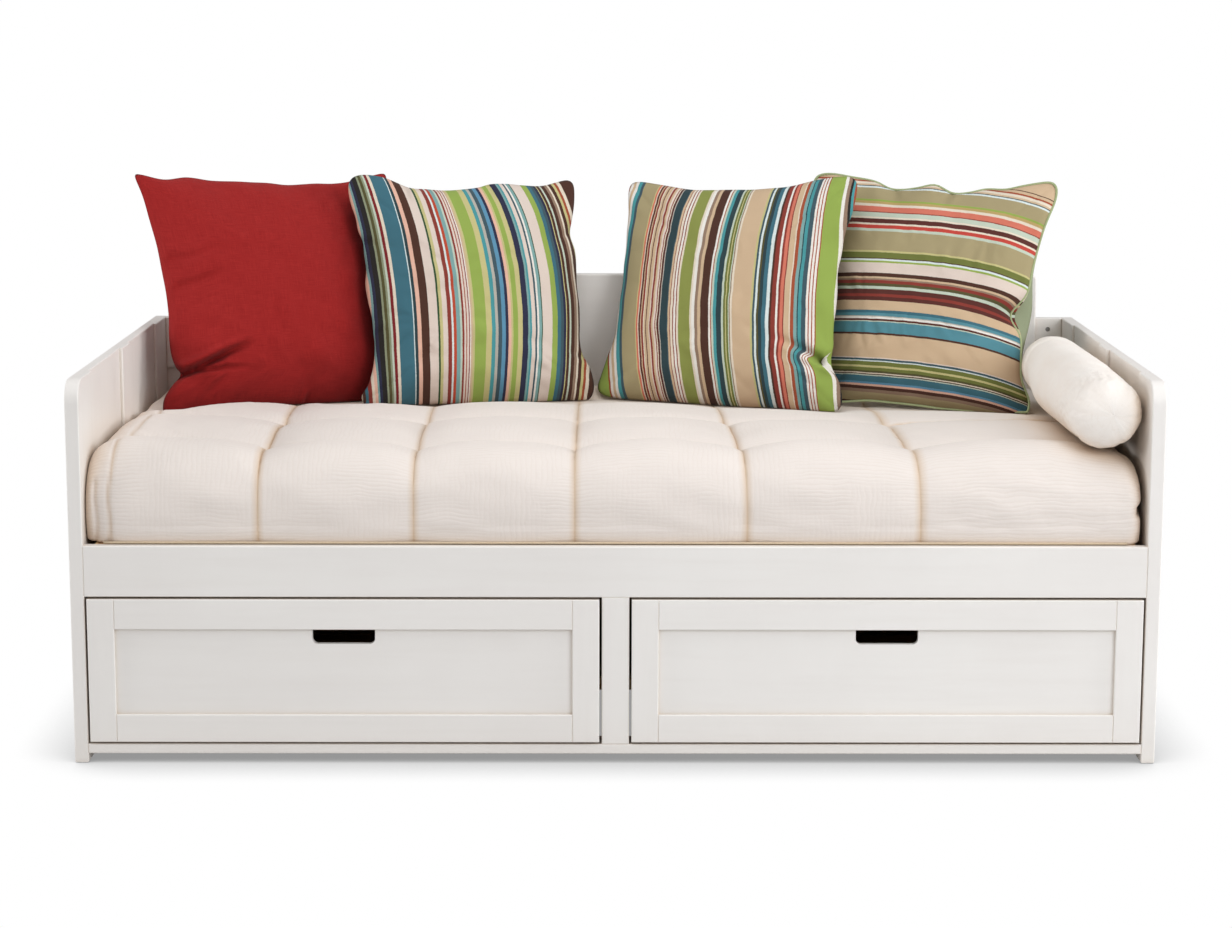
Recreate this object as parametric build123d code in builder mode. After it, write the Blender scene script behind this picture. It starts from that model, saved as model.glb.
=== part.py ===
"""Storage daybed: panelled arms, raised back, slatted base, two drawers and loose cushions.

The bed stands on the floor, at z = 0, with its front towards -Y and its length along X.
Every piece is a solid of its own. The two drawers slide out along -Y on wooden runners.
"""
from build123d import *
from math import cos, radians, sin
import os

os.makedirs("parts", exist_ok=True)

# Bed as a whole
overall_width = 1980.0
arm_depth = 1030.0
arm_height = 706.0
edge_ease = 1.5
joint_gap = 0.2
cut_overrun = 1.0

# Arms: three stiles and a lower rail around two panels
arm_thickness = 25.0
arm_corner_radius = 40.0
front_stile_width = 140.0
middle_stile_width = 90.0
rear_stile_width = 145.0
arm_panel_recess = 6.0
arm_rail_height = 80.0
rail_floor_gap = 18.0
tongue_thickness = 8.0
tongue_length = 10.0

# Glides under the arms
glide_radius = 11.0
glide_thickness = 5.0
glide_stand = 1.5
glide_inset = 45.0

# Face frame between the arms
face_thickness = 22.0
front_rail_bottom = 311.0
front_rail_height = 94.0
centre_stile_width = 50.0
bottom_rail_height = 18.0
bottom_rail_depth = 60.0

# Back frame and the raised back board
back_thickness = 22.0
back_top_rail_height = 110.0
back_bottom_rail_height = 70.0
back_panel_thickness = 12.0
back_groove_depth = 8.0
raised_back_top = 802.0
raised_back_thickness = 20.0
raised_back_inset = 60.0
raised_back_lift = 3.0
raised_back_corner_radius = 12.0

# Slatted base
slat_count = 13
slat_width = 75.0
slat_thickness = 18.0
slat_end_gap = 1.0
slat_side_gap = 16.0
ledger_thickness = 30.0
ledger_height = 40.0
beam_thickness = 40.0
beam_height = 60.0
beam_tenon_height = 36.0
beam_tenon_thickness = 20.0
beam_tenon_length = 12.0
partition_thickness = 18.0

# Connector bolts and the barrel nuts that they draw on
bolt_radius = 3.0
bolt_hole_radius = 3.3
bolt_head_radius = 7.5
bolt_head_thickness = 2.5
bolt_head_recess = 3.0
bolt_socket_width = 4.0
bolt_length = 62.0
nut_radius = 5.0
nut_hole_radius = 5.2
nut_length = 14.0
nut_reach = 30.0
bolt_edge_distance = 24.0

# Drawers
front_proud = 3.0
drawer_side_gap = 4.5
drawer_end_gap = 4.0
drawer_frame_thickness = 20.0
drawer_stile_width = 49.0
drawer_top_rail_height = 56.0
drawer_bottom_rail_height = 52.0
drawer_panel_recess = 8.0
drawer_rebate = 8.0
handle_width = 114.0
handle_height = 28.0
handle_radius = 10.0
box_inset = 12.0
box_length = 740.0
box_wall = 15.0
box_bottom_lift = 8.0
box_top_drop = 17.0
box_base_thickness = 9.0
box_base_lift = 12.0
box_base_groove = 7.0
runner_height = 25.0
runner_play = 0.5
runner_groove = 8.0
runner_lift = 90.0
runner_front_setback = 50.0
runner_length = 700.0
groove_front_stop = 25.0
drawer_travel = 480.0
stop_height = 34.0
stop_thickness = 20.0

# Mattress: a tufted cotton pad that lies on the slats and the front rail
soft_gap = 0.4
mattress_side_gap = 8.0
mattress_front_setback = 8.0
mattress_rear_gap = 6.0
mattress_edge_height = 134.0
mattress_tuft_height = 143.0
mattress_crown_rise = 38.0
mattress_shoulder = 52.0
mattress_side_bulge = 9.0
mattress_end_taper = 30.0

# Loose cushions
striped_pillow_width = 490.0
striped_pillow_height = 480.0
striped_pillow_thickness = 150.0
red_pillow_width = 546.0
red_pillow_height = 490.0
red_pillow_thickness = 156.0
red_pillow_turn_angle = 25.0
red_pillow_lean_angle = 17.0
left_pillow_turn_angle = 11.0
left_pillow_lean_angle = 16.0
right_pillow_turn_angle = -20.0
right_pillow_lean_angle = 17.0
rear_pillow_turn_angle = -17.0
rear_pillow_lean_angle = 19.0
bolster_radius = 67.0
bolster_length = 752.0
bolster_front_setback = 14.0
bolster_arm_gap = 1.0
bolster_rest_rise = 28.4

# Planes and heights that the pieces share
half_width = overall_width / 2
inner_half = half_width - arm_thickness
front_y = -(arm_depth - front_proud) / 2
rear_y = front_y + arm_depth
middle_y = front_y + arm_depth / 2
face_rear_y = front_y + face_thickness
back_front_y = rear_y - back_thickness
raised_front_y = back_front_y - raised_back_thickness
deck_z = front_rail_bottom + front_rail_height
arm_rail_top = rail_floor_gap + arm_rail_height
opening_bottom = rail_floor_gap + bottom_rail_height
slat_underside = deck_z - slat_thickness
mattress_base_z = deck_z + soft_gap
arm_panel_thickness = arm_thickness - arm_panel_recess
arm_panel_centre = half_width - arm_panel_thickness / 2
drawer_front_y = front_y - front_proud
drawer_frame_rear_y = drawer_front_y + drawer_frame_thickness


def finish(builder, label):
    """Label a finished piece and write its file."""
    builder.part.label = label
    export_step(builder.part, f"parts/{label}.step")


def ease_faces(builder, axis, size=edge_ease):
    """Take the sharp edge off the outlines of the two faces that look along an axis."""
    faces = builder.faces().sort_by(axis)
    chamfer(faces[0].outer_wire().edges() + faces[-1].outer_wire().edges(), size)


def plan_cut(x_centre, y_centre, x_size, y_size, z_from, z_to):
    """Cut an upright slot that is a rectangle seen from above."""
    with BuildSketch(Plane.XY.offset(z_from)) as slot:
        with Locations((x_centre, y_centre)):
            Rectangle(x_size, y_size)
    extrude(slot.sketch, amount=z_to - z_from, mode=Mode.SUBTRACT)


# Connector bolts pass through the arms at these places: y, z of each bolt on either side
bolt_places = [
    (front_y + face_thickness / 2, front_rail_bottom + bolt_edge_distance),
    (front_y + face_thickness / 2, deck_z - bolt_edge_distance),
    (front_y + bottom_rail_depth / 2, rail_floor_gap + bottom_rail_height / 2),
    (rear_y - back_thickness / 2, arm_height - back_top_rail_height + bolt_edge_distance),
    (rear_y - back_thickness / 2, arm_height - bolt_edge_distance),
    (rear_y - back_thickness / 2, front_rail_bottom + front_rail_height / 2),
    (rear_y - back_thickness / 2, rail_floor_gap + back_bottom_rail_height / 2),
]


def stile_bolt_holes(side, first_y, last_y):
    """Counterbored holes through a stile for the bolts whose places lie on it."""
    for y, z in bolt_places:
        if first_y < y < last_y:
            with Locations(Plane(origin=(side * half_width, y, z), z_dir=(side, 0, 0))):
                CounterBoreHole(
                    radius=bolt_hole_radius,
                    counter_bore_radius=bolt_head_radius + joint_gap,
                    counter_bore_depth=bolt_head_recess,
                    depth=arm_thickness,
                )


def rail_bolt_holes(y_face, z_low, z_high, inward):
    """End bores for the bolts and cross bores for the barrel nuts in a rail."""
    for y, z in bolt_places:
        if z_low < z < z_high and abs(y - y_face) < bottom_rail_depth:
            bore_depth = bolt_length - arm_thickness + bolt_head_recess
            for side in (-1, 1):
                with Locations(Plane(origin=(side * inner_half, y, z), z_dir=(side, 0, 0))):
                    Hole(radius=bolt_hole_radius, depth=bore_depth)
                nut_face = Plane(origin=(side * (inner_half - nut_reach), y_face, z), z_dir=(0, inward, 0))
                with Locations(nut_face):
                    Hole(radius=nut_hole_radius, depth=abs(y - y_face) + nut_length / 2)


# Arms, left at side -1 and right at side 1
def groove_along(side, y_edge, z_low):
    """Groove for the panel tongues in a stile's edge, open at the top."""
    plan_cut(
        side * arm_panel_centre, y_edge,
        tongue_thickness + 2 * joint_gap, 2 * (tongue_length + joint_gap),
        z_low, arm_height + cut_overrun,
    )


def arm_stile_block(side, first_y, last_y, z_low, rounded):
    """The plain board of a stile, with the front top corner rounded where asked."""
    with BuildSketch(Plane.YZ.offset(side * half_width)) as outline:
        with Locations(((first_y + last_y) / 2, (z_low + arm_height) / 2)):
            Rectangle(last_y - first_y, arm_height - z_low)
        if rounded:
            top_corners = outline.vertices().sort_by(Axis.Y)[-2:]
            fillet(top_corners.sort_by(Axis.X)[0], arm_corner_radius)
    extrude(outline.sketch, amount=-side * arm_thickness)


def glide_socket(side, y):
    """Shallow round socket in a stile's foot for a glide."""
    with BuildSketch(Plane.XY.offset(glide_stand)) as socket:
        with Locations((side * (half_width - arm_thickness / 2), y)):
            Circle(glide_radius + joint_gap)
    extrude(socket.sketch, amount=glide_thickness - glide_stand, mode=Mode.SUBTRACT)


front_glide_y = front_y + glide_inset
rear_glide_y = rear_y - glide_inset
front_stile_rear_y = front_y + front_stile_width
rear_stile_front_y = rear_y - rear_stile_width
middle_stile_front_y = middle_y - middle_stile_width / 2
middle_stile_rear_y = middle_y + middle_stile_width / 2
between_stiles_y = (front_stile_rear_y + rear_stile_front_y) / 2

for side, hand in ((-1, "left"), (1, "right")):
    with BuildPart() as front_stile:
        arm_stile_block(side, front_y, front_stile_rear_y, glide_stand, rounded=True)
        ease_faces(front_stile, Axis.X)
        groove_along(side, front_stile_rear_y, rail_floor_gap)
        stile_bolt_holes(side, front_y, front_stile_rear_y)
        glide_socket(side, front_glide_y)
    finish(front_stile, f"{hand}_arm_front_stile")

    with BuildPart() as middle_stile:
        arm_stile_block(side, middle_stile_front_y, middle_stile_rear_y, arm_rail_top, rounded=False)
        ease_faces(middle_stile, Axis.X)
        groove_along(side, middle_stile_front_y, arm_rail_top)
        groove_along(side, middle_stile_rear_y, arm_rail_top)
        # Tongue that stands in the groove of the lower rail
        with BuildSketch(Plane.XY.offset(arm_rail_top)):
            with Locations((side * arm_panel_centre, middle_y)):
                Rectangle(tongue_thickness, middle_stile_width - 2 * tongue_length)
        extrude(amount=-tongue_length)
        # Mortise for the slat beam's tenon
        with BuildSketch(Plane.YZ.offset(side * inner_half)):
            with Locations((middle_y, slat_underside - beam_height / 2)):
                Rectangle(beam_tenon_thickness + 2 * joint_gap, beam_tenon_height + 2 * joint_gap)
        extrude(amount=side * (beam_tenon_length + joint_gap), mode=Mode.SUBTRACT)
    finish(middle_stile, f"{hand}_arm_middle_stile")

    with BuildPart() as rear_stile:
        arm_stile_block(side, rear_stile_front_y, rear_y, glide_stand, rounded=False)
        ease_faces(rear_stile, Axis.X)
        groove_along(side, rear_stile_front_y, rail_floor_gap)
        stile_bolt_holes(side, rear_stile_front_y, rear_y)
        glide_socket(side, rear_glide_y)
    finish(rear_stile, f"{hand}_arm_rear_stile")

    with BuildPart() as lower_rail:
        with BuildSketch(Plane.YZ.offset(side * half_width)):
            with Locations((between_stiles_y, rail_floor_gap + arm_rail_height / 2)):
                Rectangle(rear_stile_front_y - front_stile_rear_y, arm_rail_height)
        extrude(amount=-side * arm_thickness)
        ease_faces(lower_rail, Axis.X)
        # Tenons at both ends, and the groove along the top for panels and middle stile
        with BuildSketch(Plane.XY.offset(rail_floor_gap)):
            with Locations((side * arm_panel_centre, between_stiles_y)):
                Rectangle(tongue_thickness, rear_stile_front_y - front_stile_rear_y + 2 * tongue_length)
        extrude(amount=arm_rail_height - tongue_length - joint_gap)
        plan_cut(
            side * arm_panel_centre, between_stiles_y,
            tongue_thickness + 2 * joint_gap, rear_stile_front_y - front_stile_rear_y,
            arm_rail_top - tongue_length - joint_gap, arm_rail_top + cut_overrun,
        )
    finish(lower_rail, f"{hand}_arm_lower_rail")

    panel_spans = (
        ("front", front_stile_rear_y, middle_stile_front_y),
        ("rear", middle_stile_rear_y, rear_stile_front_y),
    )
    for place, panel_front_y, panel_rear_y in panel_spans:
        panel_middle_y = (panel_front_y + panel_rear_y) / 2
        panel_width = panel_rear_y - panel_front_y
        with BuildPart() as arm_panel:
            with BuildSketch(Plane.XY.offset(arm_rail_top)):
                with Locations((side * arm_panel_centre, panel_middle_y)):
                    Rectangle(arm_panel_thickness, panel_width)
            extrude(amount=arm_height - arm_rail_top)
            ease_faces(arm_panel, Axis.X)
            # Tongues on both edges, full height, and along the bottom
            with BuildSketch(Plane.XY.offset(arm_rail_top)):
                with Locations((side * arm_panel_centre, panel_middle_y)):
                    Rectangle(tongue_thickness, panel_width + 2 * tongue_length)
            extrude(amount=arm_height - arm_rail_top)
            with BuildSketch(Plane.XY.offset(arm_rail_top)):
                with Locations((side * arm_panel_centre, panel_middle_y)):
                    Rectangle(tongue_thickness, panel_width)
            extrude(amount=-tongue_length)
        finish(arm_panel, f"{hand}_arm_{place}_panel")

# Glides, one under each front and rear stile
with BuildPart() as floor_glides:
    with BuildSketch(Plane.XY):
        for side in (-1, 1):
            for y in (front_glide_y, rear_glide_y):
                with Locations((side * (half_width - arm_thickness / 2), y)):
                    Circle(glide_radius)
    extrude(amount=glide_thickness)
finish(floor_glides, "floor_glides")

# Face frame
with BuildPart() as front_rail:
    with BuildSketch(Plane.YZ.offset(-inner_half)):
        with Locations((front_y + face_thickness / 2, front_rail_bottom + front_rail_height / 2)):
            Rectangle(face_thickness, front_rail_height)
    extrude(amount=2 * inner_half)
    ease_faces(front_rail, Axis.Y)
    rail_bolt_holes(face_rear_y, front_rail_bottom, deck_z, inward=1)
finish(front_rail, "front_rail")

with BuildPart() as centre_stile:
    with BuildSketch(Plane.XZ.offset(-front_y)):
        with Locations((0, (opening_bottom + front_rail_bottom) / 2)):
            Rectangle(centre_stile_width, front_rail_bottom - opening_bottom)
    extrude(amount=-face_thickness)
    ease_faces(centre_stile, Axis.Y)
finish(centre_stile, "centre_stile")

with BuildPart() as bottom_rail:
    with BuildSketch(Plane.YZ.offset(-inner_half)):
        with Locations((front_y + bottom_rail_depth / 2, rail_floor_gap + bottom_rail_height / 2)):
            Rectangle(bottom_rail_depth, bottom_rail_height)
    extrude(amount=2 * inner_half)
    ease_faces(bottom_rail, Axis.Y)
    rail_bolt_holes(front_y + bottom_rail_depth, rail_floor_gap, opening_bottom, inward=1)
finish(bottom_rail, "bottom_rail")

# Back frame: three rails and two panels between the arms' rear stiles
back_top_rail_bottom = arm_height - back_top_rail_height
back_bottom_rail_top = rail_floor_gap + back_bottom_rail_height
back_middle = rear_y - back_thickness / 2


def back_rail_body(z_low, z_high, groove_below, groove_above):
    """A back rail along X with a groove for each panel that it holds."""
    with BuildSketch(Plane.YZ.offset(-inner_half)) as section:
        with Locations((back_middle, (z_low + z_high) / 2)):
            Rectangle(back_thickness, z_high - z_low)
        groove_size = (back_panel_thickness + 2 * joint_gap, 2 * (back_groove_depth + joint_gap))
        if groove_below:
            with Locations((back_middle, z_low)):
                Rectangle(*groove_size, mode=Mode.SUBTRACT)
        if groove_above:
            with Locations((back_middle, z_high)):
                Rectangle(*groove_size, mode=Mode.SUBTRACT)
    extrude(section.sketch, amount=2 * inner_half)


with BuildPart() as back_top_rail:
    back_rail_body(back_top_rail_bottom, arm_height, groove_below=True, groove_above=False)
    ease_faces(back_top_rail, Axis.Y)
    rail_bolt_holes(back_front_y, back_top_rail_bottom, arm_height, inward=-1)
finish(back_top_rail, "back_top_rail")

with BuildPart() as back_middle_rail:
    back_rail_body(front_rail_bottom, deck_z, groove_below=True, groove_above=True)
    ease_faces(back_middle_rail, Axis.Y)
    rail_bolt_holes(back_front_y, front_rail_bottom, deck_z, inward=-1)
finish(back_middle_rail, "back_middle_rail")

with BuildPart() as back_bottom_rail:
    back_rail_body(rail_floor_gap, back_bottom_rail_top, groove_below=False, groove_above=True)
    ease_faces(back_bottom_rail, Axis.Y)
    rail_bolt_holes(back_front_y, rail_floor_gap, back_bottom_rail_top, inward=-1)
finish(back_bottom_rail, "back_bottom_rail")

back_panel_spans = (
    ("upper", deck_z, back_top_rail_bottom),
    ("lower", back_bottom_rail_top, front_rail_bottom),
)
for place, panel_low, panel_high in back_panel_spans:
    with BuildPart() as back_panel:
        with BuildSketch(Plane.XZ.offset(-back_middle)):
            with Locations((0, (panel_low + panel_high) / 2)):
                Rectangle(2 * (inner_half - joint_gap), panel_high - panel_low + 2 * back_groove_depth)
        extrude(amount=back_panel_thickness / 2, both=True)
    finish(back_panel, f"back_{place}_panel")

with BuildPart() as raised_back:
    with BuildSketch(Plane.XZ.offset(-raised_front_y)) as back_outline:
        raised_bottom = deck_z + raised_back_lift
        with Locations((0, (raised_bottom + raised_back_top) / 2)):
            Rectangle(2 * (inner_half - raised_back_inset), raised_back_top - raised_bottom)
        fillet(back_outline.vertices().sort_by(Axis.Y)[-2:], raised_back_corner_radius)
    extrude(amount=-raised_back_thickness)
    ease_faces(raised_back, Axis.Y, 2 * edge_ease)
finish(raised_back, "raised_back")

# Slatted base
ledger_bottom = slat_underside - ledger_height
beam_bottom = slat_underside - beam_height
ledger_half = inner_half - joint_gap

for place, ledger_front_y in (("front", face_rear_y), ("rear", back_front_y - ledger_thickness)):
    with BuildPart() as ledger:
        with BuildSketch(Plane.YZ.offset(-ledger_half)):
            with Locations((ledger_front_y + ledger_thickness / 2, ledger_bottom + ledger_height / 2)):
                Rectangle(ledger_thickness, ledger_height)
        extrude(amount=2 * ledger_half)
        lower_edges = ledger.edges().filter_by(Axis.X).group_by(Axis.Z)[0]
        chamfer(lower_edges, 2 * edge_ease)
    finish(ledger, f"{place}_ledger")

with BuildPart() as slat_beam:
    with BuildSketch(Plane.YZ.offset(-inner_half)):
        with Locations((middle_y, beam_bottom + beam_height / 2)):
            Rectangle(beam_thickness, beam_height)
    extrude(amount=2 * inner_half)
    with BuildSketch(Plane.YZ.offset(-inner_half - beam_tenon_length)):
        with Locations((middle_y, beam_bottom + beam_height / 2)):
            Rectangle(beam_tenon_thickness, beam_tenon_height)
    extrude(amount=2 * (inner_half + beam_tenon_length))
finish(slat_beam, "slat_beam")

slat_length = back_front_y - face_rear_y - 2 * slat_end_gap
slat_pitch = (2 * (inner_half - slat_side_gap) - slat_width) / (slat_count - 1)
with BuildPart() as slats:
    with BuildSketch(Plane.XY.offset(slat_underside)):
        with Locations((0, (face_rear_y + back_front_y) / 2)):
            with GridLocations(slat_pitch, 0, slat_count, 1):
                Rectangle(slat_width, slat_length)
    extrude(amount=slat_thickness)
    long_top_edges = slats.edges().filter_by(Axis.Y).group_by(Axis.Z)[-1]
    chamfer(long_top_edges, 2 * edge_ease)
finish(slats, "slats")

with BuildPart() as centre_partition:
    with BuildSketch(Plane.YZ.offset(-partition_thickness / 2)):
        with Locations(((face_rear_y + back_front_y) / 2, (opening_bottom + slat_underside) / 2)):
            Rectangle(back_front_y - face_rear_y, slat_underside - opening_bottom)
        # Notches that let the slat beam and the two ledgers run through
        with Locations((middle_y, slat_underside)):
            Rectangle(beam_thickness + 2 * joint_gap, 2 * (beam_height + joint_gap), mode=Mode.SUBTRACT)
        notch_size = (2 * (ledger_thickness + joint_gap), 2 * (ledger_height + joint_gap))
        with Locations((face_rear_y, slat_underside), (back_front_y, slat_underside)):
            Rectangle(*notch_size, mode=Mode.SUBTRACT)
    extrude(amount=partition_thickness)
finish(centre_partition, "centre_partition")

# Bolts and barrel nuts, one of each at every bolt place on both sides
with BuildPart() as frame_bolts:
    for side in (-1, 1):
        for y, z in bolt_places:
            head_plane = Plane(
                origin=(side * (half_width - bolt_head_recess + bolt_head_thickness), y, z),
                z_dir=(side, 0, 0),
            )
            with BuildSketch(head_plane):
                Circle(bolt_head_radius)
            extrude(amount=-bolt_head_thickness)
            with BuildSketch(head_plane.offset(-bolt_head_thickness)):
                Circle(bolt_radius)
            extrude(amount=-(bolt_length - bolt_head_thickness))
            with BuildSketch(head_plane):
                RegularPolygon(radius=bolt_socket_width / 2, side_count=6, major_radius=False)
            extrude(amount=-(bolt_head_thickness + bolt_radius), mode=Mode.SUBTRACT)
finish(frame_bolts, "frame_bolts")

with BuildPart() as barrel_nuts:
    for side in (-1, 1):
        for y, z in bolt_places:
            nut_x = side * (inner_half - nut_reach)
            with BuildSketch(Plane(origin=(nut_x, y - nut_length / 2, z), z_dir=(0, 1, 0))):
                Circle(nut_radius)
            extrude(amount=nut_length)
            with BuildSketch(Plane(origin=(nut_x - nut_radius, y, z), z_dir=(1, 0, 0))):
                Circle(bolt_radius + joint_gap / 4)
            extrude(amount=2 * nut_radius, mode=Mode.SUBTRACT)
finish(barrel_nuts, "barrel_nuts")

# Drawers, left at side -1 and right at side 1; x is measured outwards from the middle
front_inner_x = centre_stile_width / 2 + drawer_side_gap
front_outer_x = inner_half - drawer_side_gap
front_low = opening_bottom + drawer_end_gap
front_high = front_rail_bottom - drawer_end_gap
front_middle_x = (front_inner_x + front_outer_x) / 2
panel_inner_x = front_inner_x + drawer_stile_width
panel_outer_x = front_outer_x - drawer_stile_width
panel_low = front_low + drawer_bottom_rail_height
panel_high = front_high - drawer_top_rail_height
lip_rear_y = drawer_front_y + drawer_panel_recess
box_inner_x = front_inner_x + box_inset
box_outer_x = front_outer_x - box_inset
box_low = front_low + box_bottom_lift
box_high = front_high - box_top_drop
box_rear_y = drawer_frame_rear_y + box_length
base_low = box_low + box_base_lift
base_high = base_low + box_base_thickness
runner_middle_z = box_low + runner_lift
runner_front_y = front_y + runner_front_setback


def lip_and_ledge(side, x_low, x_high, z_low, z_high, ledge_low, ledge_high, ledge_left, ledge_right):
    """A frame member: its face lip, and behind it the ledge that is cut back or runs on for the panel."""
    with BuildSketch(Plane.XZ.offset(-drawer_front_y)) as lip:
        with Locations((side * (x_low + x_high) / 2, (z_low + z_high) / 2)):
            Rectangle(x_high - x_low, z_high - z_low)
    extrude(lip.sketch, amount=-drawer_panel_recess)
    with BuildSketch(Plane.XZ.offset(-lip_rear_y)) as ledge:
        with Locations((side * (ledge_left + ledge_right) / 2, (ledge_low + ledge_high) / 2)):
            Rectangle(ledge_right - ledge_left, ledge_high - ledge_low)
    extrude(ledge.sketch, amount=-(drawer_frame_thickness - drawer_panel_recess))


def bevel_face(builder, size):
    """Bevel round the face of a frame member."""
    chamfer(builder.faces().sort_by(Axis.Y)[0].outer_wire().edges(), size)


for side, hand in ((-1, "left"), (1, "right")):
    with BuildPart() as top_rail:
        lip_and_ledge(side, panel_inner_x, panel_outer_x, panel_high, front_high,
                      panel_high + drawer_rebate, front_high,
                      panel_inner_x - drawer_rebate, panel_outer_x + drawer_rebate)
        bevel_face(top_rail, edge_ease)
    finish(top_rail, f"{hand}_drawer_top_rail")

    with BuildPart() as low_rail:
        lip_and_ledge(side, panel_inner_x, panel_outer_x, front_low, panel_low,
                      front_low, panel_low - drawer_rebate,
                      panel_inner_x - drawer_rebate, panel_outer_x + drawer_rebate)
        bevel_face(low_rail, edge_ease)
    finish(low_rail, f"{hand}_drawer_bottom_rail")

    with BuildPart() as inner_stile:
        lip_and_ledge(side, front_inner_x, panel_inner_x, front_low, front_high,
                      front_low, front_high, front_inner_x, panel_inner_x - drawer_rebate)
        bevel_face(inner_stile, edge_ease)
    finish(inner_stile, f"{hand}_drawer_inner_stile")

    with BuildPart() as outer_stile:
        lip_and_ledge(side, panel_outer_x, front_outer_x, front_low, front_high,
                      front_low, front_high, panel_outer_x + drawer_rebate, front_outer_x)
        bevel_face(outer_stile, edge_ease)
    finish(outer_stile, f"{hand}_drawer_outer_stile")

    with BuildPart() as front_panel:
        panel_half_width = (panel_outer_x - panel_inner_x) / 2 + drawer_rebate - joint_gap
        panel_half_height = (panel_high - panel_low) / 2 + drawer_rebate - joint_gap
        with BuildSketch(Plane.XZ.offset(-lip_rear_y)):
            with Locations((side * front_middle_x, (panel_low + panel_high) / 2)):
                Rectangle(2 * panel_half_width, 2 * panel_half_height)
        extrude(amount=-(drawer_frame_thickness - drawer_panel_recess))
        # Hand hole: square where it meets the top rail, rounded below
        with BuildSketch(Plane.XZ.offset(-lip_rear_y)) as hand_hole:
            with Locations((side * front_middle_x, panel_high - handle_height / 2)):
                Rectangle(handle_width, handle_height)
            fillet(hand_hole.vertices().sort_by(Axis.Y)[:2], handle_radius)
        extrude(amount=-(drawer_frame_thickness - drawer_panel_recess), mode=Mode.SUBTRACT)
    finish(front_panel, f"{hand}_drawer_panel")

    box_sides = (
        ("inner", box_inner_x, box_inner_x + box_wall, -side),
        ("outer", box_outer_x - box_wall, box_outer_x, side),
    )
    for place, wall_low_x, wall_high_x, outward in box_sides:
        outer_face_x = side * (wall_low_x if place == "inner" else wall_high_x)
        inner_face_x = side * (wall_high_x if place == "inner" else wall_low_x)
        with BuildPart() as box_side:
            with BuildSketch(Plane.YZ.offset(outer_face_x)):
                with Locations(((drawer_frame_rear_y + box_rear_y) / 2, (box_low + box_high) / 2)):
                    Rectangle(box_length, box_high - box_low)
            extrude(amount=-outward * box_wall)
            # Groove on the outside that rides on the runner, closed at the front
            groove_front_y = drawer_frame_rear_y + groove_front_stop
            with BuildSketch(Plane.YZ.offset(outer_face_x)):
                with Locations(((groove_front_y + box_rear_y) / 2, runner_middle_z)):
                    Rectangle(box_rear_y - groove_front_y, runner_height + 2 * runner_play)
            extrude(amount=-outward * (runner_groove + runner_play), mode=Mode.SUBTRACT)
            # Groove on the inside for the drawer's base
            with BuildSketch(Plane.YZ.offset(inner_face_x)):
                with Locations(((drawer_frame_rear_y + box_rear_y) / 2, (base_low + base_high) / 2)):
                    Rectangle(box_length, box_base_thickness + 2 * joint_gap)
            extrude(amount=outward * box_base_groove, mode=Mode.SUBTRACT)
        finish(box_side, f"{hand}_drawer_{place}_side")

    with BuildPart() as box_back:
        with BuildSketch(Plane.XZ.offset(-box_rear_y)):
            with Locations((side * (box_inner_x + box_outer_x) / 2, (base_high + joint_gap + box_high) / 2)):
                Rectangle(box_outer_x - box_inner_x - 2 * box_wall, box_high - base_high - joint_gap)
        extrude(amount=box_wall)
        chamfer(box_back.edges().filter_by(Axis.X).group_by(Axis.Z)[-1], edge_ease)
    finish(box_back, f"{hand}_drawer_back")

    with BuildPart() as box_base:
        base_inner_x = box_inner_x + box_wall - box_base_groove + joint_gap
        base_outer_x = box_outer_x - box_wall + box_base_groove - joint_gap
        with BuildSketch(Plane.XY.offset(base_low)):
            with Locations((side * (base_inner_x + base_outer_x) / 2, (drawer_frame_rear_y + box_rear_y) / 2)):
                Rectangle(base_outer_x - base_inner_x, box_length)
        extrude(amount=box_base_thickness)
    finish(box_base, f"{hand}_drawer_base")

    with BuildPart() as stops:
        # Blocks on the two sides that meet the front rail when the drawer is fully out
        stop_front_y = face_rear_y + drawer_travel + runner_play
        for wall_x in (box_inner_x + box_wall / 2, box_outer_x - box_wall / 2):
            with BuildSketch(Plane.XY.offset(box_high)):
                with Locations((side * wall_x, stop_front_y + stop_thickness / 2)):
                    Rectangle(box_wall, stop_thickness)
            extrude(amount=stop_height)
    finish(stops, f"{hand}_drawer_stops")

    runner_spans = (
        ("inner", partition_thickness / 2, box_inner_x + runner_groove),
        ("outer", box_outer_x - runner_groove, inner_half),
    )
    for place, runner_low_x, runner_high_x in runner_spans:
        with BuildPart() as runner:
            with BuildSketch(Plane.XZ.offset(-runner_front_y)):
                with Locations((side * (runner_low_x + runner_high_x) / 2, runner_middle_z)):
                    Rectangle(runner_high_x - runner_low_x, runner_height)
            extrude(amount=-runner_length)
            chamfer(runner.faces().sort_by(Axis.Y)[0].edges().filter_by(Axis.X), 2 * edge_ease)
        finish(runner, f"{hand}_{place}_runner")

# Mattress. It is lofted through slices across the bed. Its long top is crowned between three
# rows of tufts and five seams, and pressed flat where the pillows stand. A slice is given by its
# place along the bed, the rise of its crowns, the rise of its rear crown and its fullness.
mattress_half_length = inner_half - mattress_side_gap
mattress_front_y = front_y + mattress_front_setback
mattress_rear_y = raised_front_y - mattress_rear_gap
tuft_row_shares = (0.197, 0.505, 0.823)
seam_shares = (-0.678, -0.383, -0.077, 0.25, 0.575)
rear_crown_shares = (0.0, 0.0, 0.8, 0.3, 0.0, 0.0)
cell_profile_shares = ((0.0, 0.3), (0.18, 0.78), (0.5, 1.0), (0.82, 0.78))
end_profile_shares = ((1.0, 0.0), (0.986, 0.55), (0.962, 0.9))
end_crown_share = 0.6


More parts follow.
